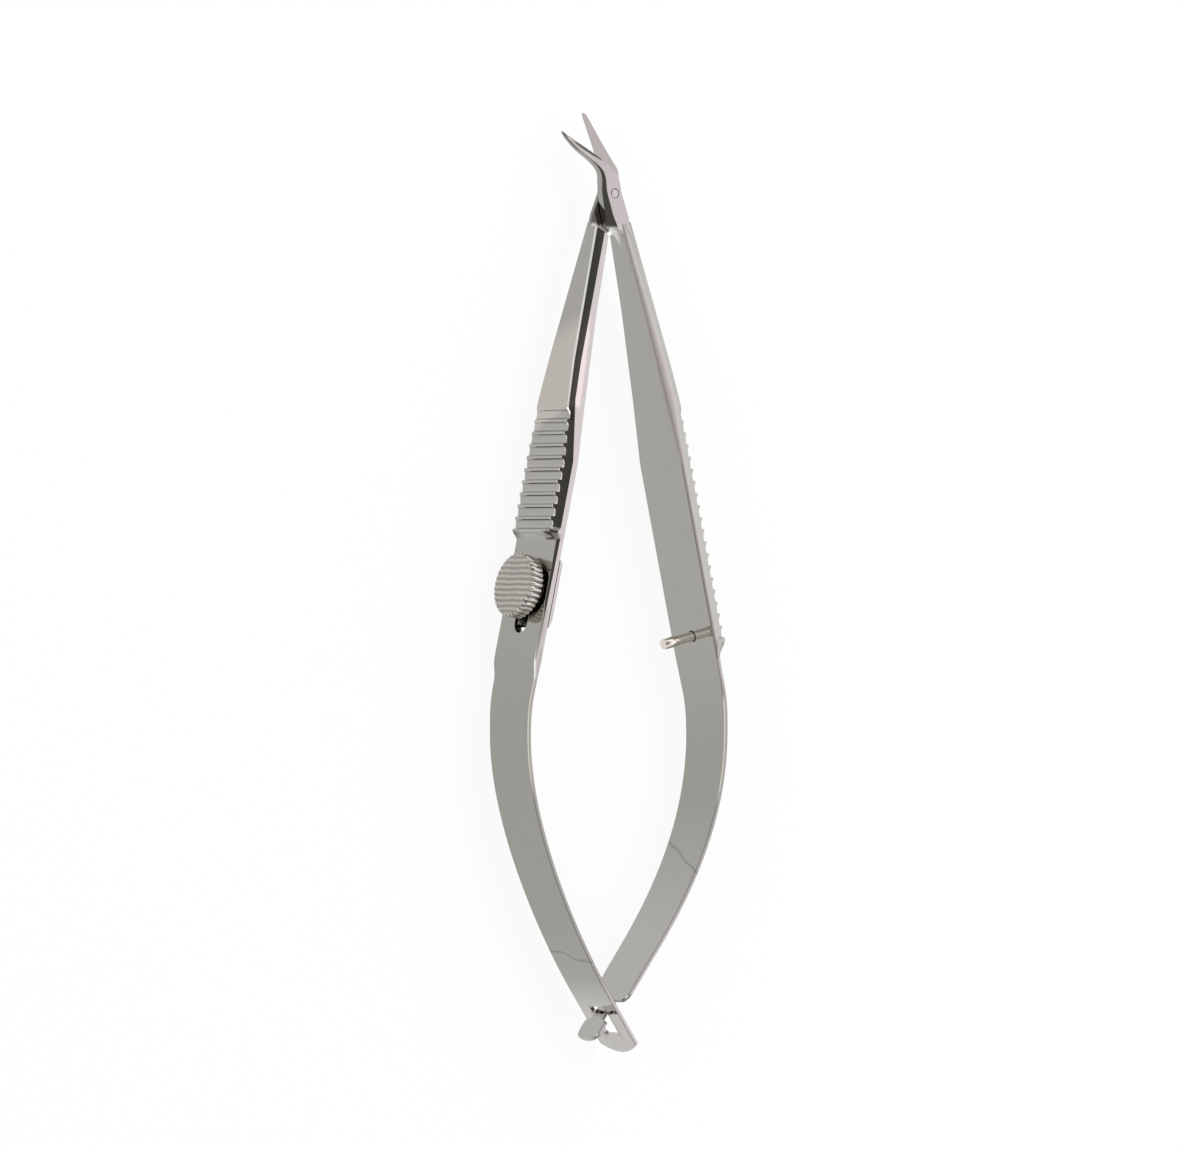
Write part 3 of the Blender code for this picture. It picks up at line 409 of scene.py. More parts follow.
def headRings(stations, front):
    last = len(stations) - 1
    lap = heads["halfGap"]
    plain = []
    for i, (left, right, leftChamfer, rightChamfer) in enumerate(stations):
        if i <= heads["edgeStarts"]:
            depth = between(heads["rootThicks"], left[1])
        else:
            share = (i - heads["edgeStarts"]) / (last - heads["edgeStarts"])
            depth = between(heads["bladeThicks"], share)
        leftFall, rightFall = (heads["innerFall"], 1) if front else (1, heads["innerFall"])
        leftTop = max(depth - leftFall * leftChamfer, 2 * lap)
        rightTop = max(depth - rightFall * rightChamfer, 2 * lap)
        if i > heads["edgeStarts"] and front:
            rightTop = lap + heads["edgeThick"]
        if i > heads["edgeStarts"] and not front:
            leftTop = lap + heads["edgeThick"]
        plain.append((*left, *right, leftChamfer, rightChamfer, depth, leftTop, rightTop))
    rows = []
    for i in range(last):
        bend = i >= heads["edgeStarts"] - 1
        for k in range(heads["between"]):
            t = k / heads["between"]
            row = []
            for c in range(len(plain[0])):
                column = [station[c] for station in plain]
                straight = column[i] + (column[i + 1] - column[i]) * t
                row.append(curveThrough(column, i, t) if bend else straight)
            rows.append(row)
    rows.append(plain[-1])
    rings = []
    up = 1 if front else -1
    for lx, ly, rx, ry, leftChamfer, rightChamfer, depth, leftTop, rightTop in rows:
        left = Vector((lx, ly, 0))
        right = Vector((rx, ry, 0))
        across = (right - left).normalized()
        leftIn = left + across * leftChamfer
        rightIn = right - across * rightChamfer
        profile = [(left, lap), (right, lap), (right, rightTop), (rightIn, depth), (leftIn, depth),
                   (left, leftTop)]
        rings.append([Vector((p.x, p.y, up * z)) for p, z in profile])
    return rings


def boxOf(name, low, high, turn=None):
    corners = [(x, y, z) for x in (low[0], high[0]) for y in (low[1], high[1])
               for z in (low[2], high[2])]
    turn = turn or Matrix.Identity(4)
    faces = [(0, 1, 3, 2), (4, 6, 7, 5), (0, 4, 5, 1), (2, 3, 7, 6), (0, 2, 6, 4), (1, 5, 7, 3)]
    return meshOf(name, [turn @ Vector(c) for c in corners], faces)


def roundOf(name, profile, turn, steps=64):  # a turned piece about the frame's Z axis, closed at both ends
    rings = []
    for radius, height in profile:
        rings.append([turn @ Vector((radius * math.cos(2 * math.pi * k / steps),
                                     radius * math.sin(2 * math.pi * k / steps), height))
                      for k in range(steps)])
    return loftOf(name, rings)


axisRadius = 0.02       # stands in for the axis, so that a turned piece closes
upright = Matrix.Identity(4)
alongX = Matrix.Rotation(math.radians(90), 4, "Y")      # lays a turned piece along X


def lapCutter(side):
    reach = heads["cutReach"]
    low, high = (-reach, heads["halfGap"]) if side > 0 else (-heads["halfGap"], reach)
    x, y = heads["cutAt"]
    turn = Matrix.Translation((side * x, y, 0)) @ Matrix.Rotation(
        side * math.radians(heads["cutAngle"]), 4, "Z")
    return boxOf("lapCutter", (-reach, 0, low), (reach, reach, high), turn)


pin = {
    "down": 50.8, "seat": 0.45, "length": 4.15,
    "shaft": 0.57, "cap": 0.63, "capLength": 1.9, "chamfer": 0.12,
    "hole": 0.68, "holeEnds": (-0.51, 0.62),
}


def pinFrame():
    foot = downArm * pin["down"] + outOfArm * layout["faceOffset"]
    turn = Vector((0, 0, 1)).rotation_difference(-outOfArm)
    return Matrix.Translation(foot) @ turn.to_matrix().to_4x4()


slide = {
    "down": 45.45, "travel": 3.9, "slotWidth": 2.4, "gap": 0.10, "fit": 0.06,
    "collarRadius": 2.3, "collarThick": 0.35, "collarEdge": 0.05,
    "stud": 0.80, "eye": 0.86,
}
knob = {
    "radius": 3.6, "thick": 1.45, "lip": 0.22, "rim": 0.17, "foot": 0.15,
    "teeth": 35, "toothDepth": 0.17, "toothSteps": 8,
    "grooves": 11, "grooveDepth": 0.11, "grooveWander": 0.03, "faceSteps": 34,
    "socket": 0.7,
}
plate = {
    "thick": 0.36, "up": 3.40, "down": 4.25, "slopes": (0.45, 0.90), "half": 3.9,
    "back": -0.07,          # close to the arm
    "rim": ((0, 0.07), (0.03, 0.02), (0.09, 0)),        # how far in from each side, and how much lower
    "crown": 0.02, "bow": 0.35,
}


def slideFrame():
    out = Vector((-outOfArm.x, outOfArm.y, 0))
    upArm = Vector((downArm.x, -downArm.y, 0))
    axes = Matrix((out, upArm, out.cross(upArm))).transposed().to_4x4()
    return Matrix.Translation(out * layout["faceOffset"] - upArm * slide["down"]) @ axes


def slotCutter():
    radius = slide["slotWidth"] / 2
    outline = []
    steps = 24
    for centre, first in ((0, 0), (-slide["travel"], math.pi)):
        for i in range(steps + 1):
            angle = first + math.pi * i / steps
            outline.append((radius * math.cos(angle), centre + radius * math.sin(angle)))
    turn = slideFrame()
    return loftOf("slotCutter", [[turn @ Vector((x, t, z)) for z, t in outline] for x in (-2.5, 2.5)])


tail = {
    "endRadius": 6.0, "end": 5.3, "width": 6.9,
    "windowTop": 0.95, "windowLength": 3.85, "windowWidth": 2.75, "windowCorner": 0.35,
    "neck": 2.1, "shoulder": 1.57, "shoulderCorner": 1.15, "neckEnd": 1.0,
    "paddle": 4.0, "paddleEnd": 3.7, "paddleRise": 0.18, "paddleRound": 0.38,
    "start": {1: -2.95, -1: -1.55},
}


def leftTail():
    radius = tail["endRadius"]
    sagitta = radius - math.sqrt(radius ** 2 - (tail["width"] / 2) ** 2)
    stations = [(tail["start"][-1], tail["width"]), (tail["end"] - sagitta, tail["width"])]
    for share in (0.9, 0.8, 0.7, 0.6, 0.5, 0.4, 0.3, 0.2, 0.12, 0.05, 0.01):
        short = sagitta * share
        stations.append((tail["end"] - short, 2 * math.sqrt(2 * radius * short - short ** 2)))
    return stations


def rightTail():
    shoulder = tail["shoulder"]
    neck = tail["neck"]
    fillet = (tail["width"] - neck) / 10
    corner = tail["shoulderCorner"]
    stations = [(tail["start"][1], tail["width"]), (-shoulder - corner, tail["width"])]
    for turn in range(10, 90, 10):
        angle = math.radians(turn)
        stations.append((-shoulder - corner * (1 - math.sin(angle)),
                         tail["width"] - 2 * corner * (1 - math.cos(angle))))
    for turn in range(0, 91, 15):
        angle = math.radians(turn)
        stations.append((-shoulder + fillet * (1 - math.cos(angle)) + 0.004,
                         neck + 2.0 * fillet * (1 - math.sin(angle))))
    stations.append((tail["neckEnd"], neck))
    paddle = tail["paddleEnd"] - tail["neckEnd"]
    grow = tail["paddle"] - neck
    for turn in range(10, 91, 16):
        angle = math.radians(turn)
        stations.append((tail["neckEnd"] + tail["paddleRise"] * paddle * (1 - math.cos(angle)),
                         neck + grow * math.sin(angle)))
    for turn in (0, 12, 24, 36, 46, 55, 63, 70, 76, 82, 86):
        angle = math.radians(turn)
        stations.append((tail["neckEnd"] + paddle * (1 - tail["paddleRound"] * (1 - math.sin(angle))),
                         tail["paddle"] * math.cos(angle) ** 0.7))
    ordered = [stations[0]]
    for station in stations[1:]:
        if station[0] > ordered[-1][0] + 1e-4:
            ordered.append(station)
    return ordered


def windowCutter():
    crossing = Vector((-layout["crossingLeft"], -layout["crossingDown"], 0))
    turn = Matrix.Translation(crossing) @ Matrix.Rotation(math.radians(layout["tailAngle"][-1]), 4, "Z")
    r = tail["windowCorner"]
    side = tail["windowWidth"] / 2 - r
    top = tail["windowTop"] - r
    foot = tail["windowTop"] - tail["windowLength"] + r
    outline = []
    for cx, cz, first in ((top, side, 0), (foot, side, 90), (foot, -side, 180), (top, -side, 270)):
        for k in range(7):
            angle = math.radians(first + 15 * k)
            outline.append((cx + r * math.cos(angle), cz + r * math.sin(angle)))
    return loftOf("windowCutter", [[turn @ Vector((x, t, z)) for t, z in outline] for x in (-2.6, 2.6)])


screw = {
    "body": ((0.46, 1.09), (0.51, 1.075), (0.535, 1.04), (0.54, 0.98), (0.54, 0.10), (0.50, 0.05),
             (0.50, -0.75)),        # radius and height, from the flush front end
    "head": 0.80, "headFoot": -0.75, "headTop": -1.10, "headEdge": ((0, 0.10), (0.03, 0.04), (0.10, 0)),
    "slotHalf": 0.11, "slotDepth": 0.15,
    "bore": 0.56, "seat": 0.86, "seatTop": -0.69, "reach": 2.4,
}
screwBore = ((screw["bore"], -screw["reach"]), (screw["bore"], screw["reach"]))
screwSeat = ((screw["seat"], -screw["reach"]), (screw["seat"], screw["seatTop"]))
sharpHandle, sharpKnob, sharpSmall = 15, 40, 28         # degrees above which an edge stays sharp

leftHandle = loftOf("leftHandle", bandRings(-1, leftTail()))
cutWith(leftHandle, lapCutter(-1))
cutWith(leftHandle, loftOf("backHead", headRings(heads["back"], False)), "UNION")
cutWith(leftHandle, roundOf("bore", screwBore, upright))
cutWith(leftHandle, roundOf("headSeat", screwSeat, upright))
cutWith(leftHandle, slotCutter())
cutWith(leftHandle, windowCutter())
finishMesh(leftHandle, sharpHandle)
print("left handle made:", len(leftHandle.data.polygons), "faces")

rightHandle = loftOf("rightHandle", bandRings(1, rightTail()))
cutWith(rightHandle, lapCutter(1))
cutWith(rightHandle, loftOf("frontHead", headRings(heads["front"], True)), "UNION")
cutWith(rightHandle, roundOf("bore", screwBore, upright))
cutWith(rightHandle, roundOf("pinSeat", [(pin["hole"], end) for end in pin["holeEnds"]], pinFrame()))
finishMesh(rightHandle, sharpHandle)
print("right handle made:", len(rightHandle.data.polygons), "faces")


# The turned pieces and the slide, finer than in the CAD

def makePin():
    full = pin["length"]
    edge = pin["chamfer"]
    cap = pin["cap"]
    neck = full - pin["capLength"]
    profile = [(axisRadius, full), (cap - 2 * edge, full), (cap - 0.9 * edge, full - 0.12 * edge),
               (cap - 0.3 * edge, full - 0.42 * edge), (cap, full - edge), (cap, neck + 0.10),
               (cap - 0.02, neck + 0.03), (pin["shaft"], neck), (pin["shaft"], -pin["seat"]),
               (axisRadius, -pin["seat"])]
    return roundOf("stopPin", profile, pinFrame())


def toothed(angle):  # the knob's radius there, with round-topped teeth
    s = (angle * knob["teeth"] / (2 * math.pi)) % 1.0
    return knob["radius"] - knob["toothDepth"] * (0.5 + 0.5 * math.cos(2 * math.pi * s)) ** 1.6


def grooveTurn(t, z):  # how far through its groove a point of the knob's face is, as an angle
    pitch = 2 * knob["radius"] / (knob["grooves"] + 0.5)
    return 2 * math.pi * (t + knob["grooveWander"] * math.sin(1.9 * z + 0.6 * t)) / pitch


def makeKnob():
    around = knob["teeth"] * knob["toothSteps"]
    thick, rim, steps = knob["thick"], knob["rim"], knob["faceSteps"]
    foot = handle["slideThick"] + 2 * slide["gap"] + slide["collarThick"] + slide["fit"]
    turn = slideFrame() @ Matrix.Translation((foot, 0, 0))
    back = -knob["lip"]            # a lip round the collar
    edge = ((0, None), (back, None), (back, rim), (back + 0.35 * rim, 0.32 * rim), (back + rim, 0),
            (thick - rim, 0), (thick - 0.4 * rim, 0.30 * rim))
    verts = []
    for height, inset in edge:
        for k in range(around):
            angle = 2 * math.pi * k / around
            r = slide["collarRadius"] + knob["foot"] if inset is None else toothed(angle) - inset
            verts.append(turn @ Vector((height, r * math.cos(angle), r * math.sin(angle))))
    for i in range(steps):
        for k in range(around):
            angle = 2 * math.pi * k / around
            r = (toothed(angle) - rim) * (1 - i / steps)
            t, z = r * math.cos(angle), r * math.sin(angle)
            dip = knob["grooveDepth"] * (0.5 + 0.5 * math.cos(grooveTurn(t, z))) ** 1.5
            verts.append(turn @ Vector((thick - dip, t, z)))
    verts.append(turn @ Vector((thick - knob["grooveDepth"], 0, 0)))
    rows = len(edge) + steps
    faces = []
    for i in range(rows - 1):
        for k in range(around):
            n = (k + 1) % around
            faces.append((i * around + k, i * around + n, (i + 1) * around + n, (i + 1) * around + k))
    for k in range(around):
        faces.append(((rows - 1) * around + k, (rows - 1) * around + (k + 1) % around, rows * around))
    faces.append(tuple(range(around)))
    piece = meshOf("thumbKnob", verts, faces)
    tone = piece.data.attributes.new("tone", "FLOAT", "POINT")
    shades = []
    for i in range(rows):
        for k in range(around):
            if i < len(edge):       # painted shade between the teeth; painted light on the knob's back and lip
                valley = 0.5 + 0.5 * math.cos(2 * math.pi * (k % knob["toothSteps"]) / knob["toothSteps"])
                shades.append(0.60 - 1.15 * valley if i > 3 else 0.8 - 0.3 * valley)
            else:                   # painted shade in the grooves, painted highlight beside them
                r = (knob["radius"] - rim) * (1 - (i - len(edge)) / steps)
                angle = 2 * math.pi * k / around
                wave = grooveTurn(r * math.cos(angle), r * math.sin(angle))
                shades.append(-0.50 * (0.5 + 0.5 * math.cos(wave)) ** 1.5
                              + 0.22 * max(0, math.cos(wave - 2.2)))
    tone.data.foreach_set("value", shades + [-0.5])
    socket = ((slide["eye"], -knob["socket"]), (slide["eye"], knob["socket"]))
    cutWith(piece, roundOf("knobSocket", socket, turn @ alongX, 40))
    return piece


def makeCollar():
    turn = slideFrame() @ alongX
    low = handle["slideThick"] + slide["gap"]
    high = low + slide["collarThick"]
    outer, edge = slide["collarRadius"], slide["collarEdge"]
    piece = roundOf("knobCollar", ((axisRadius, high), (outer - edge, high), (outer, high - edge),
                                   (outer, low + edge), (outer - edge, low), (axisRadius, low)), turn, 96)
    cutWith(piece, roundOf("collarEye", ((slide["eye"], 0), (slide["eye"], 2)), turn, 48))
    return piece


def makeStud():
    stem = slide["slotWidth"] / 2 - slide["gap"]
    foot = -slide["gap"] - plate["thick"]
    face = handle["slideThick"]
    top = face + 2 * slide["gap"] + slide["collarThick"] + knob["thick"] / 2
    end = slide["stud"]
    profile = ((axisRadius, top), (end, top), (end, face), (stem, face), (stem, -slide["gap"] / 2),
               (end, -slide["gap"] / 2), (end, foot + 0.04), (end - 0.04, foot), (axisRadius, foot))
    return roundOf("slideStud", profile, slideFrame() @ alongX)


def makePlate():
    turn = slideFrame()
    foot = -slide["gap"] - plate["thick"]
    lip = plate["thick"] / 3
    back, up, down = plate["back"], plate["up"], plate["down"]
    upSlope, downSlope = plate["slopes"]
    half = plate["half"]
    sides = [(way * (half - near), inset) for way, rim in ((-1, plate["rim"]), (1, plate["rim"][::-1]))
             for near, inset in rim]
    rings = []
    for z, inset in sides:
        section = [(back, up - inset), (back - lip, up - inset)]
        section += [(foot + inset + plate["crown"] * (1 - s) ** 2,
                     up - upSlope * (1 + plate["bow"] * (s - 0.5))) for s in (0.0, 0.5, 1.0)]
        section += [(foot + inset + plate["crown"] * (1 - s) ** 2,
                     downSlope * (1 + plate["bow"] * (s - 0.5)) - down) for s in (1.0, 0.5, 0.0)]
        section += [(back - lip, inset - down), (back, inset - down)]
        rings.append([turn @ Vector((x, t, z)) for x, t in section])
    piece = loftOf("slidePlate", rings)
    cutWith(piece, roundOf("plateEye", ((slide["eye"], -1), (slide["eye"], 0.3)), turn @ alongX, 48))
    return piece


def makeScrew():
    head, top = screw["head"], screw["headTop"]
    profile = [(axisRadius, screw["body"][0][1]), *screw["body"], (head, screw["headFoot"])]
    profile += [(head - inset, top + up) for inset, up in screw["headEdge"]]
    piece = roundOf("pivotScrew", profile + [(axisRadius, top)], upright)
    cutWith(piece, boxOf("screwSlot", (-2, -screw["slotHalf"], -2),
                         (2, screw["slotHalf"], top + screw["slotDepth"])))
    return piece


small = {}
for node, make in (("stop_pin", makePin), ("thumb_knob", makeKnob), ("knob_collar", makeCollar),
                   ("slide_stud", makeStud), ("slide_plate", makePlate), ("pivot_screw", makeScrew)):
    piece = make()
    finishMesh(piece, sharpKnob if node == "thumb_knob" else sharpSmall)
    small[node] = piece
print("small pieces made:", ", ".join(sorted(small)))


# Where a point lies on its band: along it, across it and out of it, in millimetres.
# The finish follows these, so brushed lines run along the leaves as they curve.
def markPlaces(piece, side):
    points, normals = leafPath(side)
    crossing, down, outward = tailAxes(side)
    path = [(downArm * d + outOfArm * layout["faceOffset"], outOfArm, d) for d in (-12, handle["flex"])]
    run = handle["flex"]
    for i in range(1, len(points)):
        run += (points[i] - points[i - 1]).length
        path.append((points[i], normals[i], run))
    for beyond in (2.0, 6.0, 12.0):
        path.append((points[-1] + down * beyond, outward, run + beyond))
    mesh = piece.data
    places = []
    tones = []
    for vertex in mesh.vertices:
        p = vertex.co / mm - pivot
        flat = Vector((side * p.x, p.y, 0))
        best = None
        for (a, _, da), (b, _, db) in zip(path, path[1:]):
            t = max(0.0, min(1.0, (flat - a).dot(b - a) / (b - a).length_squared))
            nearest = a + (b - a) * t
            gap = (flat - nearest).length
            if best is None or gap < best[0]:
                best = (gap, da + (db - da) * t)
        places += [best[1], p.z, best[0]]
        tones.append(toneAt(side, p, best[1], abs(vertex.normal.z) > 0.3))
    mark = mesh.attributes.new("bandPlace", "FLOAT_VECTOR", "POINT")
    mark.data.foreach_set("vector", places)
    # painted light and shade, from toneAt
    tone = mesh.attributes.new("tone", "FLOAT", "POINT")
    tone.data.foreach_set("value", tones)


def toneAt(side, p, down, onEdge):  # painted shade below nought, painted highlight above it
    if down > handle["leaf"] + handle["taper"]:
        return paintedLight["leafRim"] if onEdge else 0.0
    if down > handle["shoulder"] - 0.01 and p.y < -3.4:
        level = Vector((side * p.x, p.y, 0)).dot(outOfArm) - layout["faceOffset"]
        for z, n, shade in armColumns(down, side):
            if abs(abs(p.z) - z) < paintedLight["reach"] and abs(level - n) < paintedLight["reach"]:
                return shade
        return shoulderTone(side, p)
    if side < 0 and -0.2 < p.z < 0:         # painted shade on the back head's lap face and its blade
        return paintedLight["lapFace"] * (1 - smooth((p.y + 0.2) / 1.2)) + paintedLight["upperBlade"] * smooth((p.y - 1) / 2)
    return shoulderTone(side, p)


def shoulderTone(side, p):  # painted highlight on the front head's end, painted shade on its top
    if side > 0 and 0 < p.z < 1.05 and -5.3 < p.y < -3.6 and p.x < 1.75:
        return paintedLight["headEnd"]
    if side > 0 and p.z > 0.5 and p.y > -3.6:
        return paintedLight["frontHead"]
    return 0.0


markPlaces(leftHandle, -1)
markPlaces(rightHandle, 1)

bodies = {"stop_pin": "right_arm", "pivot_screw": "left_arm"}
for node, piece in small.items():
    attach(piece, bodies.get(node, "thumb_slide"))
    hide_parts(node)

for piece, names, nodes in ((leftHandle, ("left_arm", "left_leaf"), ("left_arm", "left_leaf_spring")),
                            (rightHandle, ("right_arm", "right_leaf"), ("right_arm", "right_leaf_spring"))):
    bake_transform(piece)
    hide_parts(*nodes)
print("handles placed")


# Steel finishes
def steelFinish(name, look):
    material = bpy.data.materials.new(name)
    material.use_nodes = True
    nodes = material.node_tree.nodes
    links = material.node_tree.links
    shader = nodes["Principled BSDF"]
    shader.inputs["Metallic"].default_value = 1.0

    def add(kind, **values):
        node = nodes.new(kind)
        for key, value in values.items():
            setattr(node, key, value)
        return node

    onBand = "line" in look
    if onBand:
        place = add("ShaderNodeAttribute", attribute_name="bandPlace").outputs["Vector"]
    else:
        place = add("ShaderNodeTexCoord").outputs["Object"]
    scale = 1.0 if onBand else 1 / mm

    def noise(stretch, size, detail, rough=0.6):
        mapping = add("ShaderNodeMapping")
        mapping.inputs["Scale"].default_value = [scale * s for s in stretch]
        links.new(place, mapping.inputs["Vector"])
        texture = add("ShaderNodeTexNoise")
        texture.inputs["Scale"].default_value = size
        texture.inputs["Detail"].default_value = detail
        texture.inputs["Roughness"].default_value = rough
        links.new(mapping.outputs["Vector"], texture.inputs["Vector"])
        return texture.outputs["Fac"]

    def ramp(source, low, high, first, last):
        node = add("ShaderNodeMapRange")
        node.inputs["From Min"].default_value = low
        node.inputs["From Max"].default_value = high
        node.inputs["To Min"].default_value = first
        node.inputs["To Max"].default_value = last
        links.new(source, node.inputs["Value"])
        return node.outputs["Result"]

    def mixed(factor, first, last):
        node = add("ShaderNodeMix", data_type="RGBA")
        links.new(factor, node.inputs[0])
        for socket, value in ((node.inputs[6], first), (node.inputs[7], last)):
            if isinstance(value, tuple):
                socket.default_value = (*value, 1)
            else:
                links.new(value, socket)
        return node.outputs[2]

    def product(first, last):
        node = add("ShaderNodeMath", operation="MULTIPLY")
        links.new(first, node.inputs[0])
        if isinstance(last, float):
            node.inputs[1].default_value = last
        else:
            links.new(last, node.inputs[1])
        return node.outputs[0]

    def weighed(source, weight, other):  # source times weight plus another value
        node = add("ShaderNodeMath", operation="MULTIPLY_ADD")
        links.new(source, node.inputs[0])
        node.inputs[1].default_value = weight
        links.new(other, node.inputs[2])
        return node.outputs[0]

    brushed = noise(look["brushStretch"], 1.0, 3)
    patches = noise(look["patchStretch"], 1.0, 2)
    scratches = noise(look["scratchStretch"], 1.0, 4, 0.75)
    tint = mixed(ramp(patches, 0.35, 0.65, 0, 1), look["colour"], look["warm"])
    if onBand:
        axes = add("ShaderNodeSeparateXYZ")
        links.new(place, axes.inputs[0])
        along, across, out = axes.outputs
        for start, end, colour in look["stretches"]:       # the colour changes along the band
            tint = mixed(ramp(along, start, end, 0, 1), tint, colour)
        # painted reflection: a lighter, warm band across the left arm's face
        if "paintedSheen" in look:
            paintedSheen = look["paintedSheen"]
            reach = weighed(across, paintedSheen["slope"], along)
            zone = product(ramp(reach, *paintedSheen["from"], 0, 1), ramp(reach, *paintedSheen["to"], 1, 0))
            tint = mixed(product(zone, ramp(out, *paintedSheen["out"], 0, 1)), tint, paintedSheen["colour"])
        line = look["line"]         # painted shade: a dark, wavy line across the band
        wander = noise((0.0, 0.30, 0.0), 1.0, 1)
        level = weighed(across, line["slope"], weighed(wander, line["wave"], along))
        before = ramp(level, line["at"] - line["half"], line["at"], 0, 1)
        after = ramp(level, line["at"], line["at"] + line["half"], 1, 0)
        tint = mixed(product(product(before, after), line["strength"]), tint, line["colour"])
    # The tone attribute paints light: painted shade below nought, painted highlight above it.
    wearAndPaintedLight = add("ShaderNodeAttribute", attribute_name="tone").outputs["Fac"]
    tint = mixed(ramp(wearAndPaintedLight, 0, -1, 0, 1), tint, look["shadow"])
    tint = mixed(ramp(wearAndPaintedLight, 0, 1, 0, 1), tint, look["bright"])
    tint = mixed(ramp(brushed, 0.35, 0.75, 0, look["brushShade"]), tint, look["dark"])
    tint = mixed(ramp(scratches, 0.62, 0.74, 0, look["scratchShade"]), tint, look["dark"])
    links.new(tint, shader.inputs["Base Color"])
    rough = ramp(brushed, 0.3, 0.7, look["rough"] * 0.8, look["rough"] * 1.3)
    links.new(rough, shader.inputs["Roughness"])
    bump = add("ShaderNodeBump")
    bump.inputs["Strength"].default_value = look["bump"]
    bump.inputs["Distance"].default_value = look["bumpDepth"]
    links.new(brushed, bump.inputs["Height"])
    links.new(bump.outputs["Normal"], shader.inputs["Normal"])
    return material


steel = {"patchStretch": (0.10, 0.18, 0.18), "bumpDepth": 0.00001}
handleSteel = dict(
    steel, dark=(0.25, 0.24, 0.22), shadow=(0.045, 0.036, 0.030), bright=(0.88, 0.86, 0.84),
    brushStretch=(0.30, 7.0, 7.0), brushShade=0.16, scratchStretch=(0.9, 14.0, 14.0), scratchShade=0.25,
    rough=0.055, bump=0.06)
# painted shade line across a leaf
bandLine = {"half": 0.22, "strength": 0.60, "colour": (0.16, 0.15, 0.13)}
leftSteel = dict(
    handleSteel, colour=(0.415, 0.405, 0.375), warm=(0.430, 0.415, 0.390),
    # The last stretch is a painted reflection: the tail's end past the crossing is painted lighter.
    stretches=((40, 60, (0.37, 0.37, 0.335)), (84, 91, (0.41, 0.405, 0.375)), (91, 95, (0.60, 0.58, 0.56))),
    paintedSheen={"from": (14.5, 17.5), "to": (26.0, 26.6), "slope": 0.45, "out": (0.55, 0.75),
              "colour": (0.58, 0.535, 0.495)},
    line=dict(bandLine, at=88.8, slope=-0.19, wave=1.6))
rightSteel = dict(
    handleSteel, colour=(0.420, 0.412, 0.385), warm=(0.430, 0.420, 0.395),
    stretches=((50, 64, (0.37, 0.37, 0.335)), (70, 86, (0.48, 0.47, 0.45))),
    line=dict(bandLine, at=76.6, slope=-0.48, wave=0.8))
leftHandle.data.materials.append(steelFinish("brushedSteelLeft", leftSteel))
rightHandle.data.materials.append(steelFinish("brushedSteelRight", rightSteel))

turnedSteel = dict(
    steel, colour=(0.50, 0.47, 0.43), warm=(0.56, 0.52, 0.47), dark=(0.22, 0.20, 0.18),
    shadow=(0.05, 0.042, 0.035), bright=(0.92, 0.90, 0.87),
    brushStretch=(3.0, 3.0, 3.0), brushShade=0.30, scratchStretch=(9.0, 2.0, 9.0), scratchShade=0.30,
    rough=0.17, bump=0.10)
# Painted light: the pin's steel is coloured lighter than the turned steel, for its highlights.
brightSteel = dict(turnedSteel, colour=(0.82, 0.77, 0.72), warm=(0.88, 0.82, 0.76),
                   rough=0.16, brushShade=0.15)
# Painted light: the collar and stud are coloured far lighter than the knob's steel, standing in for light in
# the gap under the knob.
collarSteel = dict(turnedSteel, colour=(0.86, 0.80, 0.74), warm=(0.92, 0.86, 0.80), rough=0.20)
screwSteel = dict(turnedSteel, colour=(0.40, 0.39, 0.365), warm=(0.42, 0.41, 0.385),
                  rough=0.06, brushShade=0.15)
plateSteel = dict(turnedSteel, colour=(0.42, 0.41, 0.385), warm=(0.44, 0.42, 0.395),
                  rough=0.06, brushShade=0.15)
finishes = {
    "thumb_knob": steelFinish("knobSteel", turnedSteel),
    "stop_pin": steelFinish("brightSteel", brightSteel),
    "slide_plate": steelFinish("plateSteel", plateSteel),
    "pivot_screw": steelFinish("screwSteel", screwSteel),
    "knob_collar": steelFinish("collarSteel", collarSteel),
}
finishes["slide_stud"] = finishes["knob_collar"]
for node, piece in small.items():
    piece.data.materials.append(finishes[node])
print("finishes made")


# Stage: floor, studio dome, camera
stage = {
    "floorHalf": 1.5, "floorTop": -2e-5,
    "floorColour": (0.90, 0.90, 0.90), "floorSeen": 0.90, "floorMirrored": 0.86,
    "dome": (0.80, 0.80, 0.80),
    "patches": (            # direction, degrees at full strength, degrees where it has faded, colour
        ((-0.052, 0.12, 0.99), 20, 27, (0.16, 0.155, 0.15)),        # the dark ceiling over the object
        ((0.581, 0, 0.814), 13, 18, (1.60, 1.48, 1.60)),            # the softbox that the edges show
        ((-0.83, 0, 0.56), 13, 21, (2.4, 2.35, 2.3)),
        ((0.45, 0.75, 0.48), 10, 18, (2.2, 2.15, 2.1)),
        ((0.988, 0, 0.156), 14, 24, (1.25, 1.25, 1.25)),
    ),
}


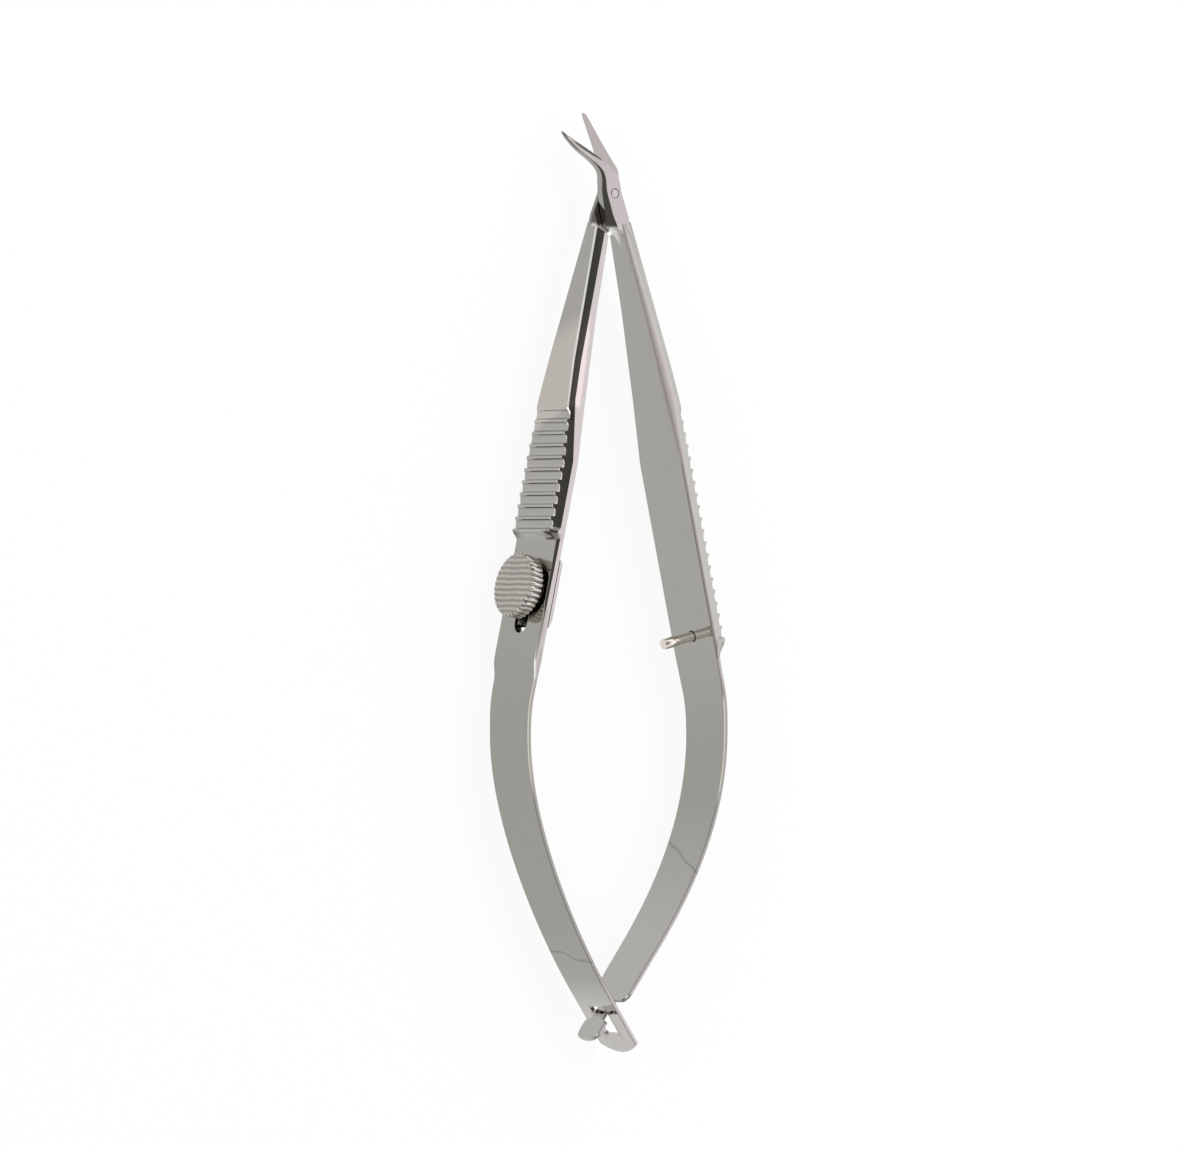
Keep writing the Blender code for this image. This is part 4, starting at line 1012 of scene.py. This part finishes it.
def makeFloor():
    half, top = stage["floorHalf"], stage["floorTop"]
    mesh = bpy.data.meshes.new("floor")
    mesh.from_pydata([(-half, -half, top), (half, -half, top), (half, half, top), (-half, half, top)],
                     [], [(0, 1, 2, 3)])
    floor = bpy.data.objects.new("floor", mesh)
    bpy.context.scene.collection.objects.link(floor)
    material = bpy.data.materials.new("paleFloor")
    material.use_nodes = True
    nodes = material.node_tree.nodes
    links = material.node_tree.links
    nodes.clear()
    rays = nodes.new("ShaderNodeLightPath")
    paper = nodes.new("ShaderNodeBsdfDiffuse")
    paper.inputs["Color"].default_value = (*stage["floorColour"], 1)
    shade = paper.outputs[0]
    for seen, strength, share in (("Is Camera Ray", 1.0, stage["floorSeen"]),
                                  ("Is Glossy Ray", stage["floorMirrored"], 1.0)):
        glow = nodes.new("ShaderNodeEmission")
        glow.inputs["Strength"].default_value = strength
        amount = nodes.new("ShaderNodeMath")
        amount.operation = "MULTIPLY"
        amount.inputs[1].default_value = share
        links.new(rays.outputs[seen], amount.inputs[0])
        both = nodes.new("ShaderNodeMixShader")
        links.new(amount.outputs[0], both.inputs[0])
        links.new(shade, both.inputs[1])
        links.new(glow.outputs[0], both.inputs[2])
        shade = both.outputs[0]
    out = nodes.new("ShaderNodeOutputMaterial")
    links.new(shade, out.inputs[0])
    mesh.materials.append(material)


def makeDome():
    world = bpy.data.worlds.new("studioDome")
    bpy.context.scene.world = world
    world.use_nodes = True
    nodes = world.node_tree.nodes
    links = world.node_tree.links
    nodes.clear()
    place = nodes.new("ShaderNodeTexCoord")

    def patch(direction, full, fade):  # 1 inside full degrees of a direction, 0 beyond fade
        dot = nodes.new("ShaderNodeVectorMath")
        dot.operation = "DOT_PRODUCT"
        dot.inputs[1].default_value = Vector(direction).normalized()
        links.new(place.outputs["Generated"], dot.inputs[0])
        edge = nodes.new("ShaderNodeMapRange")
        edge.interpolation_type = "SMOOTHSTEP"
        edge.inputs["From Min"].default_value = math.cos(math.radians(fade))
        edge.inputs["From Max"].default_value = math.cos(math.radians(full))
        links.new(dot.outputs["Value"], edge.inputs["Value"])
        return edge.outputs["Result"]

    def over(factor, below, colour):
        node = nodes.new("ShaderNodeMix")
        node.data_type = "RGBA"
        links.new(factor, node.inputs[0])
        if isinstance(below, tuple):
            node.inputs[6].default_value = (*below, 1)
        else:
            links.new(below, node.inputs[6])
        node.inputs[7].default_value = (*colour, 1)
        return node.outputs[2]

    sky = stage["dome"]
    for direction, full, fade, colour in stage["patches"]:
        sky = over(patch(direction, full, fade), sky, colour)
    rays = nodes.new("ShaderNodeLightPath")
    white = nodes.new("ShaderNodeMix")
    white.data_type = "RGBA"
    links.new(rays.outputs["Is Camera Ray"], white.inputs[0])
    links.new(sky, white.inputs[6])
    white.inputs[7].default_value = (1, 1, 1, 1)
    ground = nodes.new("ShaderNodeBackground")
    links.new(white.outputs[2], ground.inputs["Color"])
    out = nodes.new("ShaderNodeOutputWorld")
    links.new(ground.outputs[0], out.inputs[0])


keyLamp = {"size": 0.45, "energy": 2.2, "place": (0.30, 0.30, 0.70)}


def makeLamp():
    data = bpy.data.lights.new("keyLamp", "AREA")
    data.shape = "DISK"
    data.size = keyLamp["size"]
    data.energy = keyLamp["energy"]
    lamp = bpy.data.objects.new("keyLamp", data)
    bpy.context.scene.collection.objects.link(lamp)
    lamp.location = keyLamp["place"]
    lamp.rotation_mode = "QUATERNION"
    lamp.rotation_quaternion = lamp.location.to_track_quat("Z", "Y")
    lamp.visible_glossy = False


view = {
    "lens": 300, "sensor": 36, "angle": 35.5,
    "target": (-1.6195, 0.838, 2.844),      # millimetres, in the frame's own place
    "width": 0.13218,                       # metres seen across the picture there
}


def makeCamera():
    data = bpy.data.cameras.new("camera")
    data.sensor_width = view["sensor"]
    data.lens = view["lens"]
    camera = bpy.data.objects.new("camera", data)
    bpy.context.scene.collection.objects.link(camera)
    angle = math.radians(view["angle"])
    right = Vector((math.cos(angle), 0, math.sin(angle)))
    up = Vector((0, 1, 0))
    back = Vector((-math.sin(angle), 0, math.cos(angle)))
    eye = Vector(view["target"]) * mm + back * view["width"] * data.lens / view["sensor"]
    camera.matrix_world = Matrix.Translation(eye) @ Matrix((right, up, back)).transposed().to_4x4()
    bpy.context.scene.camera = camera


makeFloor()
makeDome()
makeLamp()
makeCamera()
bpy.context.scene.view_settings.view_transform = "Standard"
print("stage set")
